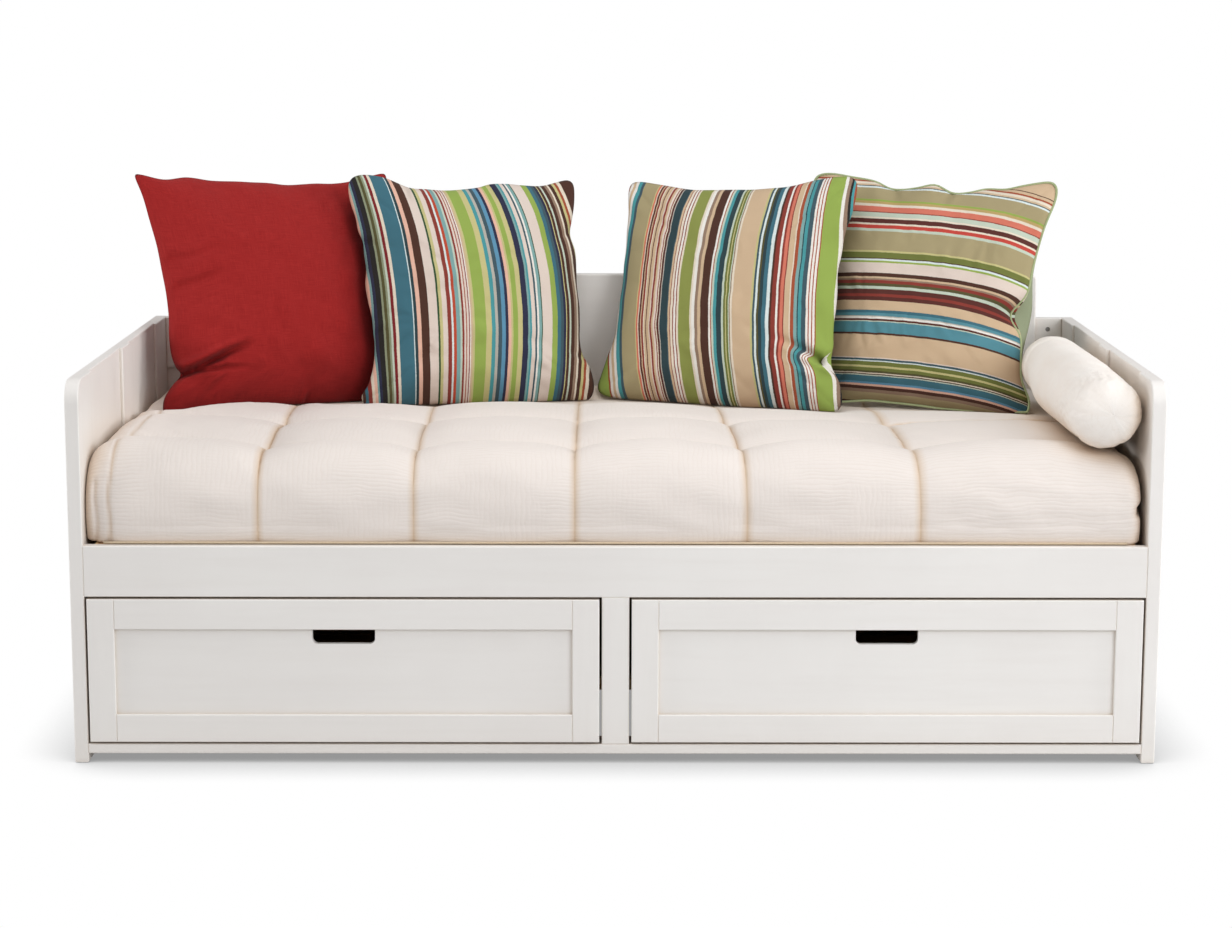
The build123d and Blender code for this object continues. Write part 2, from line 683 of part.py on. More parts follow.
def mattress_stations():
    """List the slices of the mattress from its left end to its right end."""
    cell_edges = (-1.0, *seam_shares, 1.0)
    stations = [(-reach, end_crown_share * full, 0.0, full) for reach, full in end_profile_shares]
    for k, rear_crown_share in enumerate(rear_crown_shares):
        cell_start, cell_end = cell_edges[k], cell_edges[k + 1]
        for along, crown_share in cell_profile_shares:
            place_share = cell_start + along * (cell_end - cell_start)
            if place_share > -end_profile_shares[-1][0]:
                stations.append((place_share, crown_share, rear_crown_share * crown_share, 1.0))
    stations += [(reach, end_crown_share * full, 0.0, full) for reach, full in reversed(end_profile_shares)]
    return stations


def mattress_slice(place_share, crown_share, rear_crown_share, fullness_share):
    """One closed slice of the pad: flat below, bulging front and back, crowned between tuft rows."""
    taper = mattress_end_taper * (1 - fullness_share)
    front = mattress_front_y + mattress_side_bulge + taper / 2
    rear = mattress_rear_y - mattress_side_bulge - taper / 2
    edge_z = mattress_base_z + mattress_edge_height - taper - mattress_shoulder
    top_z = mattress_base_z + mattress_edge_height - taper
    tuft_z = mattress_base_z + mattress_tuft_height - taper
    depth = mattress_rear_y - mattress_front_y
    rows = [mattress_front_y + share * depth for share in tuft_row_shares]
    crown = tuft_z + crown_share * mattress_crown_rise
    rear_crown = tuft_z + rear_crown_share * mattress_crown_rise
    half_way = (mattress_base_z + edge_z) / 2
    shoulder_front = front + mattress_shoulder
    shoulder_rear = rear - mattress_shoulder
    bend = mattress_shoulder * (1 - cos(radians(45)))
    band_ends = [shoulder_front, *rows, shoulder_rear]
    band_heights = (crown, crown, rear_crown, top_z)
    end_heights = [top_z, tuft_z, tuft_z, tuft_z, top_z]
    with BuildSketch(Plane.YZ.offset(place_share * mattress_half_length)) as pad_slice:
        with BuildLine():
            Line((rear, mattress_base_z), (front, mattress_base_z))
            ThreePointArc((front, mattress_base_z), (front - mattress_side_bulge, half_way), (front, edge_z))
            ThreePointArc((front, edge_z), (front + bend, top_z - bend), (shoulder_front, top_z))
            for k in range(4):
                low_y, high_y = band_ends[k], band_ends[k + 1]
                low_z, high_z = end_heights[k], end_heights[k + 1]
                middle_z = max(band_heights[k], (low_z + high_z) / 2 + soft_gap / 4)
                ThreePointArc((low_y, low_z), ((low_y + high_y) / 2, middle_z), (high_y, high_z))
            ThreePointArc((shoulder_rear, top_z), (rear - bend, top_z - bend), (rear, edge_z))
            ThreePointArc((rear, edge_z), (rear + mattress_side_bulge, half_way), (rear, mattress_base_z))
        make_face()
    return pad_slice.sketch


with BuildPart() as mattress:
    loft([mattress_slice(*station) for station in mattress_stations()], ruled=True)
finish(mattress, "mattress")

# Pillows. A pillow is two crowned halves that meet in a knife edge with pointed corners. Each
# layer gives the reach of its corners, the reach of its sides and its depth, as shares.
pillow_layer_shares = (
    (1.0, 0.955, 0.0),
    (0.925, 0.91, 0.18),
    (0.84, 0.86, 0.36),
    (0.745, 0.79, 0.52),
    (0.64, 0.71, 0.67),
    (0.52, 0.6, 0.8),
    (0.37, 0.44, 0.91),
    (0.18, 0.24, 0.985),
)


def pillow_plane(x_share, y_share, height, turn, lean):
    """Middle plane of a pillow that stands on the mattress, turned and leaning back in degrees."""
    across = (cos(radians(turn)), sin(radians(turn)), 0)
    facing = (
        sin(radians(turn)) * cos(radians(lean)),
        -cos(radians(turn)) * cos(radians(lean)),
        sin(radians(lean)),
    )
    centre_z = pillow_rest_z + height / 2 * cos(radians(lean))
    centre = (x_share * inner_half, front_y + y_share * arm_depth, centre_z)
    return Plane(origin=centre, x_dir=across, z_dir=facing)


def pillow_halves(plane, width, height, thickness, corner_shares):
    """Loft both halves of a pillow; corners run top left, top right, bottom right, bottom left."""
    for facing in (1, -1):
        layers = []
        for corner_reach, side_reach, depth_share in pillow_layer_shares:
            corners = [(corner_reach * u * width / 2, corner_reach * v * height / 2) for u, v in corner_shares]
            draw_in = side_reach / corner_reach
            with BuildSketch(plane.offset(facing * depth_share * thickness / 2)) as layer:
                with BuildLine():
                    for k in range(4):
                        start, end = corners[k], corners[(k + 1) % 4]
                        middle_u, middle_v = (start[0] + end[0]) / 2, (start[1] + end[1]) / 2
                        if k % 2 == 0:
                            ThreePointArc(start, (middle_u, middle_v * draw_in), end)
                        else:
                            ThreePointArc(start, (middle_u * draw_in, middle_v), end)
                make_face()
            layers.append(layer.sketch)
        loft(layers, ruled=True)


pillow_rest_z = mattress_base_z + mattress_tuft_height + soft_gap
red_place_shares = (-0.727, 0.8214)
left_place_shares = (-0.313, 0.85)
right_place_shares = (0.252, 0.82)
rear_place_shares = (0.684, 0.777)
red_corner_shares = ((-1.018, 1.023), (1.002, 0.974), (0.97, -1.0), (-0.984, -1.0045))
left_corner_shares = ((-1.0, 1.015), (0.95, 0.967), (1.01, -1.0), (-0.97, -1.0))
right_corner_shares = ((-1.01, 0.975), (1.015, 1.053), (1.07, -1.0), (-1.085, -0.94))
rear_corner_shares = ((-1.11, 1.058), (0.97, 1.02), (0.77, -1.0), (-0.85, -0.96))
striped_size = (striped_pillow_width, striped_pillow_height, striped_pillow_thickness)

with BuildPart() as red_pillow:
    red_plane = pillow_plane(*red_place_shares, red_pillow_height, red_pillow_turn_angle, red_pillow_lean_angle)
    pillow_halves(red_plane, red_pillow_width, red_pillow_height, red_pillow_thickness, red_corner_shares)
finish(red_pillow, "red_pillow")

with BuildPart() as left_striped_pillow:
    left_plane = pillow_plane(
        *left_place_shares, striped_pillow_height, left_pillow_turn_angle, left_pillow_lean_angle)
    pillow_halves(left_plane, *striped_size, left_corner_shares)
finish(left_striped_pillow, "left_striped_pillow")

with BuildPart() as right_striped_pillow:
    right_plane = pillow_plane(
        *right_place_shares, striped_pillow_height, right_pillow_turn_angle, right_pillow_lean_angle)
    pillow_halves(right_plane, *striped_size, right_corner_shares)
finish(right_striped_pillow, "right_striped_pillow")

with BuildPart() as rear_striped_pillow:
    rear_plane = pillow_plane(
        *rear_place_shares, striped_pillow_height, rear_pillow_turn_angle, rear_pillow_lean_angle)
    pillow_halves(rear_plane, *striped_size, rear_corner_shares)
finish(rear_striped_pillow, "rear_striped_pillow")

# Bolster: a stuffed roll along the right arm, fuller in the middle, with rounded ends. Each ring
# is given by its place along the roll from its middle and by its radius, as shares.
bolster_ring_shares = (
    (-1.0, 0.35),
    (-0.985, 0.62),
    (-0.95, 0.82),
    (-0.89, 0.915),
    (-0.6, 0.965),
    (-0.25, 0.995),
    (0.25, 0.995),
    (0.6, 0.965),
    (0.89, 0.915),
    (0.95, 0.82),
    (0.985, 0.62),
    (1.0, 0.35),
)


def bolster_ring(place_share, radius_share):
    """One round slice of the bolster."""
    ring_x = inner_half - bolster_arm_gap - bolster_radius
    ring_y = front_y + bolster_front_setback + (1 + place_share) * bolster_length / 2
    ring_z = mattress_base_z + mattress_tuft_height + bolster_rest_rise + bolster_radius
    with BuildSketch(Plane(origin=(ring_x, ring_y, ring_z), x_dir=(1, 0, 0), z_dir=(0, -1, 0))) as ring:
        Circle(radius_share * bolster_radius)
    return ring.sketch


with BuildPart() as bolster:
    loft([bolster_ring(*ring) for ring in bolster_ring_shares], ruled=True)
finish(bolster, "bolster")
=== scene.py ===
import bpy
import math
import numpy as np
from mathutils import Matrix, Vector


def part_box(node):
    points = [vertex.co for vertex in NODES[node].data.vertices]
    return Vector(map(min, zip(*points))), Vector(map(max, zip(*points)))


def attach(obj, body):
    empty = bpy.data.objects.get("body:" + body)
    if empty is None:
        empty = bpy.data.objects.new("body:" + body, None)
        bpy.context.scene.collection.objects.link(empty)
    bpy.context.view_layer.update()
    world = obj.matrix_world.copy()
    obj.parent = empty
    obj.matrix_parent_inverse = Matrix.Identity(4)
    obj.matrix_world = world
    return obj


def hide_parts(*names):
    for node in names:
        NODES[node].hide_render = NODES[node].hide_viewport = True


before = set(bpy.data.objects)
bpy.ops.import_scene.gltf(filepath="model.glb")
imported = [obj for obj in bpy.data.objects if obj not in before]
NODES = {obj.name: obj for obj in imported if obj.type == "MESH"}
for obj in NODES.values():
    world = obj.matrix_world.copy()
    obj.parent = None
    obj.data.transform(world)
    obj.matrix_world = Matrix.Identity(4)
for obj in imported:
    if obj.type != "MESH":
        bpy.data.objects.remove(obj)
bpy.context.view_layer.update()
scene = bpy.context.scene

# Places taken from the CAD frame, in metres
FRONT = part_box("front_rail")[0].y
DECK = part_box("front_rail")[1].z
PAD_LOW, PAD_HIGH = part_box("mattress")
PAD_X = PAD_HIGH.x
PAD_Y0, PAD_Y1 = PAD_LOW.y, PAD_HIGH.y
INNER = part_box("front_rail")[1].x


# Camera and lamps
def add_camera():
    pitch, yaw, roll = math.radians(9.612), math.radians(-0.2668), math.radians(0.125)
    right = Vector((math.cos(yaw), math.sin(yaw), 0))
    ahead = Vector((-math.sin(yaw), math.cos(yaw), 0))
    up = Vector((0, 0, 1))
    look = ahead * math.cos(pitch) - up * math.sin(pitch)
    top = up * math.cos(pitch) + ahead * math.sin(pitch)
    side = right * math.cos(roll) + top * math.sin(roll)
    top = -right * math.sin(roll) + top * math.cos(roll)
    cam = bpy.data.cameras.new("camera")
    cam.sensor_width = 36.0
    cam.lens = 80.63
    cam.clip_end = 60.0
    obj = bpy.data.objects.new("camera", cam)
    scene.collection.objects.link(obj)
    m = Matrix((side, top, -look)).transposed().to_4x4()
    m.translation = Vector((-0.0226, FRONT - 4.901, 1.3871))
    obj.matrix_world = m
    scene.camera = obj


def add_area(name, place, target, size, power, colour):
    lamp = bpy.data.lights.new(name, "AREA")
    lamp.shape = "RECTANGLE"
    lamp.size, lamp.size_y = size
    lamp.energy = power
    lamp.color = colour
    obj = bpy.data.objects.new(name, lamp)
    scene.collection.objects.link(obj)
    obj.location = place
    obj.rotation_euler = (Vector(target) - Vector(place)).to_track_quat("-Z", "Y").to_euler()


# Node helpers
class Graph:
    """A short way to write a material's node tree."""

    def __init__(self, name):
        self.mat = bpy.data.materials.new(name)
        self.mat.use_nodes = True
        self.tree = self.mat.node_tree
        self.tree.nodes.clear()
        self.out = self.node("ShaderNodeOutputMaterial")
        self.bsdf = self.node("ShaderNodeBsdfPrincipled")
        self.put(self.out, {0: self.bsdf.outputs[0]})

    def node(self, kind, inputs=None, **settings):
        """A new node with its settings and inputs."""
        n = self.tree.nodes.new(kind)
        for key, value in settings.items():
            setattr(n, key, value)
        self.put(n, inputs or {})
        return n

    def put(self, n, inputs):
        """Link outputs of other nodes to a node's inputs, or set them to plain values."""
        for key, value in inputs.items():
            if is_socket(value):
                self.tree.links.new(value, n.inputs[key])
            else:
                n.inputs[key].default_value = value

    def coords(self):
        return self.node("ShaderNodeTexCoord").outputs["Object"]

    def attribute(self, name, kind="Vector"):
        return self.node("ShaderNodeAttribute", attribute_name=name).outputs[kind]

    def scaled(self, vector, scale):
        return self.node("ShaderNodeMapping", {"Vector": vector, "Scale": scale}).outputs[0]

    def split(self, vector):
        return self.node("ShaderNodeSeparateXYZ", {0: vector}).outputs

    def noise(self, vector, scale=1.0, detail=3.0, rough=0.55, kind="Fac"):
        inputs = {"Vector": vector, "Scale": scale, "Detail": detail, "Roughness": rough}
        return self.node("ShaderNodeTexNoise", inputs).outputs[kind]

    def threads(self, uv, across, along, detail=3.0, rough=0.6):
        """Noise that is stretched along the cloth, with its two frequencies per metre."""
        return self.noise(self.scaled(uv, (across, along, 1.0)), 1.0, detail, rough)

    def math(self, op, a, b=0.0):
        return self.node("ShaderNodeMath", {0: a, 1: b}, operation=op).outputs[0]

    def remap(self, value, lo, hi, to_lo=0.0, to_hi=1.0):
        inputs = {0: value, 1: lo, 2: hi, 3: to_lo, 4: to_hi}
        return self.node("ShaderNodeMapRange", inputs, clamp=True).outputs[0]

    def mix(self, fac, a, b, blend="MIX"):
        inputs = {0: fac, 6: opaque(a), 7: opaque(b)}
        return self.node("ShaderNodeMix", inputs, data_type="RGBA", blend_type=blend).outputs[2]

    def total(self, *parts):
        """Sum of values that are each given with a weight."""
        out = None
        for value, weight in parts:
            term = self.math("MULTIPLY", value, weight)
            out = term if out is None else self.math("ADD", out, term)
        return out

    def shifted(self, vector, by, amount):
        """A vector moved by another one times an amount."""
        times = self.node("ShaderNodeVectorMath", {0: by, "Scale": amount}, operation="SCALE")
        inputs = {0: vector, 1: times.outputs[0]}
        return self.node("ShaderNodeVectorMath", inputs, operation="ADD").outputs[0]

    def bump(self, height, distance, strength=1.0):
        inputs = {"Height": height, "Distance": distance, "Strength": strength}
        return self.node("ShaderNodeBump", inputs).outputs[0]

    def finish(self, colour, rough, normal=None, sheen=0.0, specular=0.5, metal=0.0):
        inputs = {"Base Color": opaque(colour), "Roughness": rough, "Sheen Weight": sheen,
                  "Sheen Roughness": 0.5, "Specular IOR Level": specular, "Metallic": metal}
        if normal is not None:
            inputs["Normal"] = normal
        self.put(self.bsdf, inputs)
        return self.mat


def is_socket(value):
    return hasattr(value, "is_output")


def opaque(value):
    """A plain colour with its alpha, or a socket as it is."""
    return value if is_socket(value) else (*value, 1.0)


def rgb(r, g, b):
    """An sRGB colour from 0 to 255 as linear light."""
    return tuple(((c / 255 + 0.055) / 1.055) ** 2.4 if c > 10 else c / 3294.6 for c in (r, g, b))


# Materials
GRAIN = {"X": (0.9, 14.0, 14.0), "Y": (14.0, 0.9, 14.0), "Z": (14.0, 14.0, 0.9)}


def warm_shade(g, colour, distance, amount, tint):
    """Painted shade: darken and warm the colour where other surfaces close in on it, standing in for
    occlusion and bounced light.
    """
    ao = g.node("ShaderNodeAmbientOcclusion", {"Distance": distance}, samples=5)
    return g.mix(g.remap(ao.outputs["AO"], 0.15, 0.85, amount, 0.0), colour, tint, "MULTIPLY")


def painted_wood(axis):
    """Satin off-white paint: faint brush marks along the board, and painted shade in the joints and
    where other parts close in.
    """
    g = Graph("white_paint_" + axis)
    co = g.coords()
    along = g.scaled(co, GRAIN[axis])
    streak = g.noise(along, 4.0, 5.0, 0.6)
    fine = g.noise(along, 26.0, 3.0, 0.6)
    cloud = g.noise(co, 2.3, 3.0, 0.5)
    colour = g.mix(g.remap(cloud, 0.3, 0.7), rgb(240, 238, 236), rgb(246, 245, 243))
    colour = g.mix(g.remap(streak, 0.45, 0.75, 0.0, 0.25), colour, rgb(235, 232, 229))
    # Painted shade: warm darkening in tight joints and crevices, then a softer one where larger parts
    # close in
    colour = warm_shade(g, colour, 0.012, 0.5, rgb(206, 190, 170))
    colour = warm_shade(g, colour, 0.14, 0.4, rgb(240, 228, 214))
    rough = g.remap(streak, 0.3, 0.7, 0.36, 0.5)
    height = g.total((streak, 1.0), (fine, 0.45))
    return g.finish(colour, rough, g.bump(height, 0.0003, 0.45), specular=0.45)


def raw_wood(name, axis, pale, dark, ring=1.0):
    """Planed softwood or birch: long growth rings and fibres."""
    g = Graph(name)
    co = g.coords()
    long_way = {"X": (0.35, 9.0, 9.0), "Y": (9.0, 0.35, 9.0), "Z": (9.0, 9.0, 0.35)}[axis]
    stretched = g.scaled(co, long_way)
    warp = g.noise(stretched, 1.2, 4.0, 0.6)
    rings = g.math("FRACT", g.math("MULTIPLY", warp, 9.0 * ring))
    rings = g.remap(rings, 0.0, 0.85, 0.0, 1.0)
    fibre = g.noise(g.scaled(co, tuple(v * 14 for v in long_way)), 1.6, 4.0, 0.65)
    colour = g.mix(rings, pale, dark)
    colour = g.mix(g.remap(fibre, 0.35, 0.7, 0.0, 0.5), colour, tuple(c * 0.72 for c in dark))
    height = g.total((rings, 0.4), (fibre, 1.0))
    return g.finish(colour, g.remap(fibre, 0.3, 0.7, 0.5, 0.68), g.bump(height, 0.0004, 0.5))


def metal(name):
    g = Graph(name)
    co = g.coords()
    grain = g.noise(co, 900.0, 3.0, 0.6)
    stain = g.noise(co, 70.0, 3.0, 0.5)
    colour = g.mix(g.remap(stain, 0.4, 0.7), rgb(170, 172, 176), rgb(136, 134, 130))
    return g.finish(colour, g.remap(grain, 0.3, 0.7, 0.26, 0.44), g.bump(grain, 0.0001, 0.5), metal=1.0)


def plastic(name):
    g = Graph(name)
    grain = g.noise(g.coords(), 1400.0, 2.0, 0.5)
    colour = g.mix(g.noise(g.coords(), 60.0), rgb(70, 68, 66), rgb(84, 81, 78))
    return g.finish(colour, g.remap(grain, 0.3, 0.7, 0.5, 0.65), g.bump(grain, 0.0001, 0.7))


def weave(g, uv, pitch):
    """Height of a plain weave with the given thread pitch, on coordinates in metres."""
    x, y, _ = g.split(uv)
    k = 2 * math.pi / pitch
    a = g.math("SINE", g.math("MULTIPLY", x, k))
    b = g.math("SINE", g.math("MULTIPLY", y, k))
    return g.math("MULTIPLY", a, b)


def ridges(g, uv, axis, pitch, drift):
    """Height from 0 to 1 of wandering crinkles that lie across one axis of the cloth."""
    wander = g.math("MULTIPLY", g.threads(uv, *drift), 11.0)
    angle = g.math("ADD", g.math("MULTIPLY", g.split(uv)[axis], 2 * math.pi / pitch), wander)
    return g.math("MULTIPLY", g.math("ADD", g.math("SINE", angle), 1.0), 0.5)


def crinkled_cotton():
    """Double gauze: fine crinkles in both directions, long creases at the right end, tan seams."""
    g = Graph("crinkled_cotton")
    uv = g.attribute("cloth")
    crease = g.attribute("crease", "Fac")
    bent = g.shifted(uv, g.noise(uv, 14.0, 2.0, 0.5, "Color"), 0.012)
    warp = ridges(g, bent, 0, 0.0092, (44.0, 22.0))
    weft = ridges(g, bent, 1, 0.0070, (12.0, 60.0))
    # Both kinds of crinkle come in patches, and the right end has only the long creases
    patch = g.noise(uv, 7.0, 2.0, 0.5)
    last = g.remap(g.split(uv)[0], 0.5, 0.62)
    warp_share = g.math("MULTIPLY", g.remap(patch, 0.42, 0.58, 1.0, 0.15), g.math("SUBTRACT", 1.0, last))
    weft_share = g.math("MAXIMUM", g.remap(patch, 0.42, 0.58, 0.2, 1.0), last)
    puff = g.threads(uv, 26.0, 20.0, 3.0, 0.5)
    gauze = g.threads(uv, 620.0, 620.0, 2.0)
    height = g.total((g.math("MULTIPLY", warp, warp_share), 0.13),
                     (g.math("MULTIPLY", weft, weft_share), 0.16), (puff, 0.9), (gauze, 0.07))
    # Painted shade: the colour darkens in the valleys of both kinds of crinkle
    painted_valley_shade = []
    for ridge, share, strength in ((warp, warp_share, 0.15), (weft, weft_share, 0.2)):
        valley = g.remap(ridge, 0.0, 0.3, 1.0, 0.0)
        painted_valley_shade.append(g.math("MULTIPLY", valley, g.math("MULTIPLY", share, strength)))
    colour = g.mix(g.math("MAXIMUM", *painted_valley_shade), rgb(240, 233, 228), rgb(220, 207, 196))
    colour = g.mix(g.remap(crease, 0.0, 1.0, 0.0, 0.85), colour, rgb(214, 186, 152))
    # Painted shade: warm darkening where other surfaces close in
    colour = warm_shade(g, colour, 0.10, 0.85, rgb(232, 214, 192))
    return g.finish(colour, 0.92, g.bump(height, 0.0022, 0.6), sheen=0.2, specular=0.15)


def muslin():
    """Soft cream muslin for the bolster, with fine slubs and faint creases."""
    g = Graph("cream_muslin")
    uv = g.attribute("cloth")
    slub = g.threads(uv, 40.0, 420.0)
    slub2 = g.threads(uv, 420.0, 40.0)
    fold = g.threads(uv, 16.0, 9.0, 4.0, 0.55)
    colour = g.mix(g.remap(fold, 0.3, 0.7), rgb(247, 241, 235), rgb(251, 248, 244))
    colour = g.mix(g.remap(slub, 0.55, 0.75, 0.0, 0.3), colour, rgb(232, 223, 212))
    # Painted shade: warm darkening where other surfaces close in
    colour = warm_shade(g, colour, 0.10, 0.85, rgb(232, 214, 192))
    height = g.total((fold, 4.0), (slub, 0.3), (slub2, 1.0))
    return g.finish(colour, 0.9, g.bump(height, 0.0009, 0.55), sheen=0.2, specular=0.15)


def red_linen():
    """Plain woven linen with uneven slubs in both directions."""
    g = Graph("red_linen")
    uv = g.attribute("cloth")
    slub_u = g.threads(uv, 30.0, 900.0, 3.0, 0.65)
    slub_v = g.threads(uv, 900.0, 30.0, 3.0, 0.65)
    thread = weave(g, uv, 0.0013)
    cloud = g.noise(uv, 9.0, 3.0, 0.5)
    both = g.math("MULTIPLY", g.math("ADD", slub_u, slub_v), 0.5)
    colour = g.mix(g.remap(both, 0.36, 0.64), rgb(146, 25, 27), rgb(180, 45, 43))
    colour = g.mix(g.remap(cloud, 0.35, 0.65, 0.0, 0.25), colour, rgb(160, 30, 30))
    # Painted shade: darker where other surfaces close in, as under the pillow's belly
    colour = warm_shade(g, colour, 0.20, 0.9, rgb(150, 112, 112))
    height = g.total((both, 1.6), (thread, 0.35))
    return g.finish(colour, 0.86, g.bump(height, 0.0006, 0.8), sheen=0.04, specular=0.2)


HUES = {
    "peach": (236, 190, 170), "aqua": (128, 172, 172), "navy": (36, 42, 72), "black": (26, 27, 28),
    "olive": (84, 82, 48), "sage": (146, 156, 128), "mint": (200, 214, 198), "crimson": (126, 24, 34),
    "cream": (234, 224, 206), "teal": (58, 112, 130), "ice": (224, 238, 238), "deep": (36, 64, 72),
    "brown": (74, 42, 32), "blush": (230, 216, 206), "forest": (40, 80, 48), "brick": (140, 54, 46),
    "rust": (166, 80, 52), "orange": (192, 74, 50), "lime": (152, 178, 84), "khaki": (172, 160, 122),
    "straw": (204, 198, 140), "turq": (70, 156, 164), "slate": (60, 88, 100), "blue": (92, 150, 184),
    "white": (242, 240, 234), "tan": (212, 186, 154), "taupe": (150, 126, 108), "coral": (218, 122, 102),
    "moss": (112, 122, 60), "maroon": (88, 40, 36), "red": (200, 70, 60), "gold": (190, 166, 108),
    "grey": (186, 184, 176), "leaf": (142, 152, 78), "sea": (84, 146, 162),
}
LEFT_STRIPES = (
    "4 cream 3 brown 3 teal 4 brick 3 cream 3 peach 2 aqua 3 navy 4 black 2 sage 3 olive 2 sage "
    "2 mint 3 crimson 3 cream 14 teal 1.4 ice 3.2 deep 3.4 peach 7.6 brown 8.4 blush 2 forest "
    "3 straw 5 blush 4 brick 1.5 ice 3.5 orange 3.4 aqua 2.6 mint 2 brick 1 blush 1.4 rust 1.4 blush "
    "1.6 brick 1 white 2 tan 1.4 straw 12 lime 6 straw 3 turq 3 grey 4 slate 4 blue 3.2 navy "
    "2.4 peach 2.6 straw 4 lime 5 straw 6 navy 2 aqua 2 turq 4 blush 1.5 slate 2.2 white 2.4 aqua "
    "1.6 forest 10 blush 6.4 lime 3.2 teal 4 slate 2 navy 1.5 straw 2.6 brown 2 mint 4 brown "
    "2.4 taupe 2 cream 4 brown 3 straw 3 rust 4 cream 3 brown"
)
RIGHT_STRIPES = (
    "8 lime 2 rust 3 white 3 tan 3 white 4 turq 2.4 slate 16.6 khaki 1 straw 1.6 coral 1 cream "
    "1.6 maroon 1.2 tan 2 brick 1 cream 2 tan 1.5 maroon 2.6 tan 1.5 blush 1.4 brick 2.6 tan "
    "1.6 blush 1.4 brick 1 cream 1.4 maroon 1.6 grey 6.6 deep 1 slate 1.8 tan 1.4 brick 1.6 cream "
    "1.4 brick 1.4 white 1.4 brick 1.8 cream 12 leaf 2 cream 3 white 3 taupe 3 tan 8.4 brown "
    "1.5 white 1.5 rust 1.6 mint 3 turq 5.6 deep 2 mint 1.5 moss 1.5 straw 1.6 moss 1.4 mint "
    "1.1 taupe 2 cream 18 tan 1.4 straw 2 slate 2 ice 2.4 olive 2.6 deep 4.6 teal 3 ice 1.4 brown "
    "4.6 brick 2 white 2 brick 2.4 coral 1.6 brick 4.4 tan 1.6 cream 3 rust 2.4 aqua 1.5 deep "
    "2.6 turq 4.4 slate 1.5 white 1 rust 2 white 1 rust 2.4 white 1.1 rust 15 lime 3 white 2.4 taupe "
    "2 black 2 turq 2 rust 2 white 3 deep 2 turq"
)
REAR_STRIPES = (
    "5 tan 1.5 brown 3 tan 1.5 rust 3 cream 2 tan 1.5 slate 1.5 ice 14.5 khaki 2 lime 3 gold 3 cream "
    "5.4 coral 1.5 brick 5 mint 1.2 cream 5 maroon 2 cream 4.6 red 2.4 mint 21 khaki 2 straw "
    "5.6 moss 1.5 brown 2 ice 2 lime 11 blush 4 brown 2 tan 2 taupe 3 brick 2.6 olive 3 mint "
    "5.4 maroon 3 brick 3.6 maroon 10.4 tan 2.4 teal 2.6 sea 1.4 grey 2 white 2.2 maroon 1 mint "
    "10.4 sea 2.6 brown 22.4 tan 1.5 blush 1.5 slate 1.5 ice 3.6 moss 1.5 straw 3.6 moss 1.5 olive "
    "1 cream 1.6 brown 1 mint 6 teal 1.5 blue 2.6 peach 3 brown 2.4 taupe 4 khaki 4 khaki 2.4 brown "
    "2 straw 3 rust 2 straw 3 khaki"
)


def stripe_colour(g, place, text):
    """Colour of a run of stripes, each given as a width and a hue, at a place from 0 to 1."""
    words = text.split()
    runs = [(float(words[k]), HUES[words[k + 1]]) for k in range(0, len(words), 2)]
    total = sum(w for w, _ in runs)
    starts, at = [], 0.0
    for w, hue in runs:
        starts.append((at / total, hue))
        at += w
    colour = None
    for first in range(0, len(starts), 30):
        part = starts[first:first + 30]
        ramp = g.node("ShaderNodeValToRGB", {0: place})
        band = ramp.color_ramp
        band.interpolation = "CONSTANT"
        for k, (pos, hue) in enumerate(part):
            stop = band.elements[k] if k < 2 else band.elements.new(pos)
            stop.position = pos
            stop.color = (*rgb(*hue), 1.0)
        if colour is None:
            colour = ramp.outputs[0]
        else:
            colour = g.mix(g.math("GREATER_THAN", place, part[0][0]), colour, ramp.outputs[0])
    return colour


def striped_cotton(name, text, plain=None):
    """Woven stripes along the place that each pillow's cloth carries; the back can be a plain hue."""
    g = Graph(name)
    uv = g.attribute("cloth")
    place, side, _ = g.split(g.attribute("panel"))
    jitter = g.threads(uv, 600.0, 600.0, 2.0)
    place = g.math("ADD", place, g.remap(jitter, 0.2, 0.8, -0.0012, 0.0012))
    colour = stripe_colour(g, place, text)
    rib = g.threads(uv, 900.0, 900.0, 2.0, 0.5)
    colour = g.mix(g.remap(rib, 0.35, 0.65, 0.0, 0.16), colour, rgb(110, 100, 90))
    if plain is not None:
        colour = g.mix(g.math("LESS_THAN", side, -0.3), colour, rgb(*HUES[plain]))
    # Painted shade: darker where other surfaces close in
    colour = warm_shade(g, colour, 0.14, 0.8, rgb(186, 176, 170))
    height = g.total((rib, 1.0), (weave(g, uv, 0.0010), 0.3))
    return g.finish(colour, 0.84, g.bump(height, 0.0004, 0.6), sheen=0.05, specular=0.2)


def plain_cloth(name, colour_a, colour_b):
    g = Graph(name)
    co = g.coords()
    grain = g.noise(co, 700.0, 3.0, 0.6)
    colour = g.mix(g.remap(grain, 0.3, 0.7), colour_a, colour_b)
    return g.finish(colour, 0.88, g.bump(grain, 0.0004, 0.7), sheen=0.1, specular=0.2)


def backdrop():
    """White wherever the camera, a mirror or glass sees it, with a soft grey contact shadow."""
    g = Graph("backdrop")
    path = g.node("ShaderNodeLightPath").outputs
    ao = g.node("ShaderNodeAmbientOcclusion", {"Distance": 0.2}, samples=16).outputs["AO"]
    tone = g.mix(g.remap(ao, 0.12, 0.86), rgb(150, 150, 150), (1.0, 1.0, 1.0))
    glow = g.node("ShaderNodeEmission", {0: tone}).outputs[0]
    seen = g.math("MAXIMUM", path["Is Camera Ray"], path["Is Glossy Ray"])
    seen = g.math("MAXIMUM", seen, path["Is Transmission Ray"])
    g.finish((0.62, 0.62, 0.62), 0.8)
    mixer = g.node("ShaderNodeMixShader", {0: seen, 1: g.bsdf.outputs[0], 2: glow})
    g.put(g.out, {0: mixer.outputs[0]})
    return g.mat


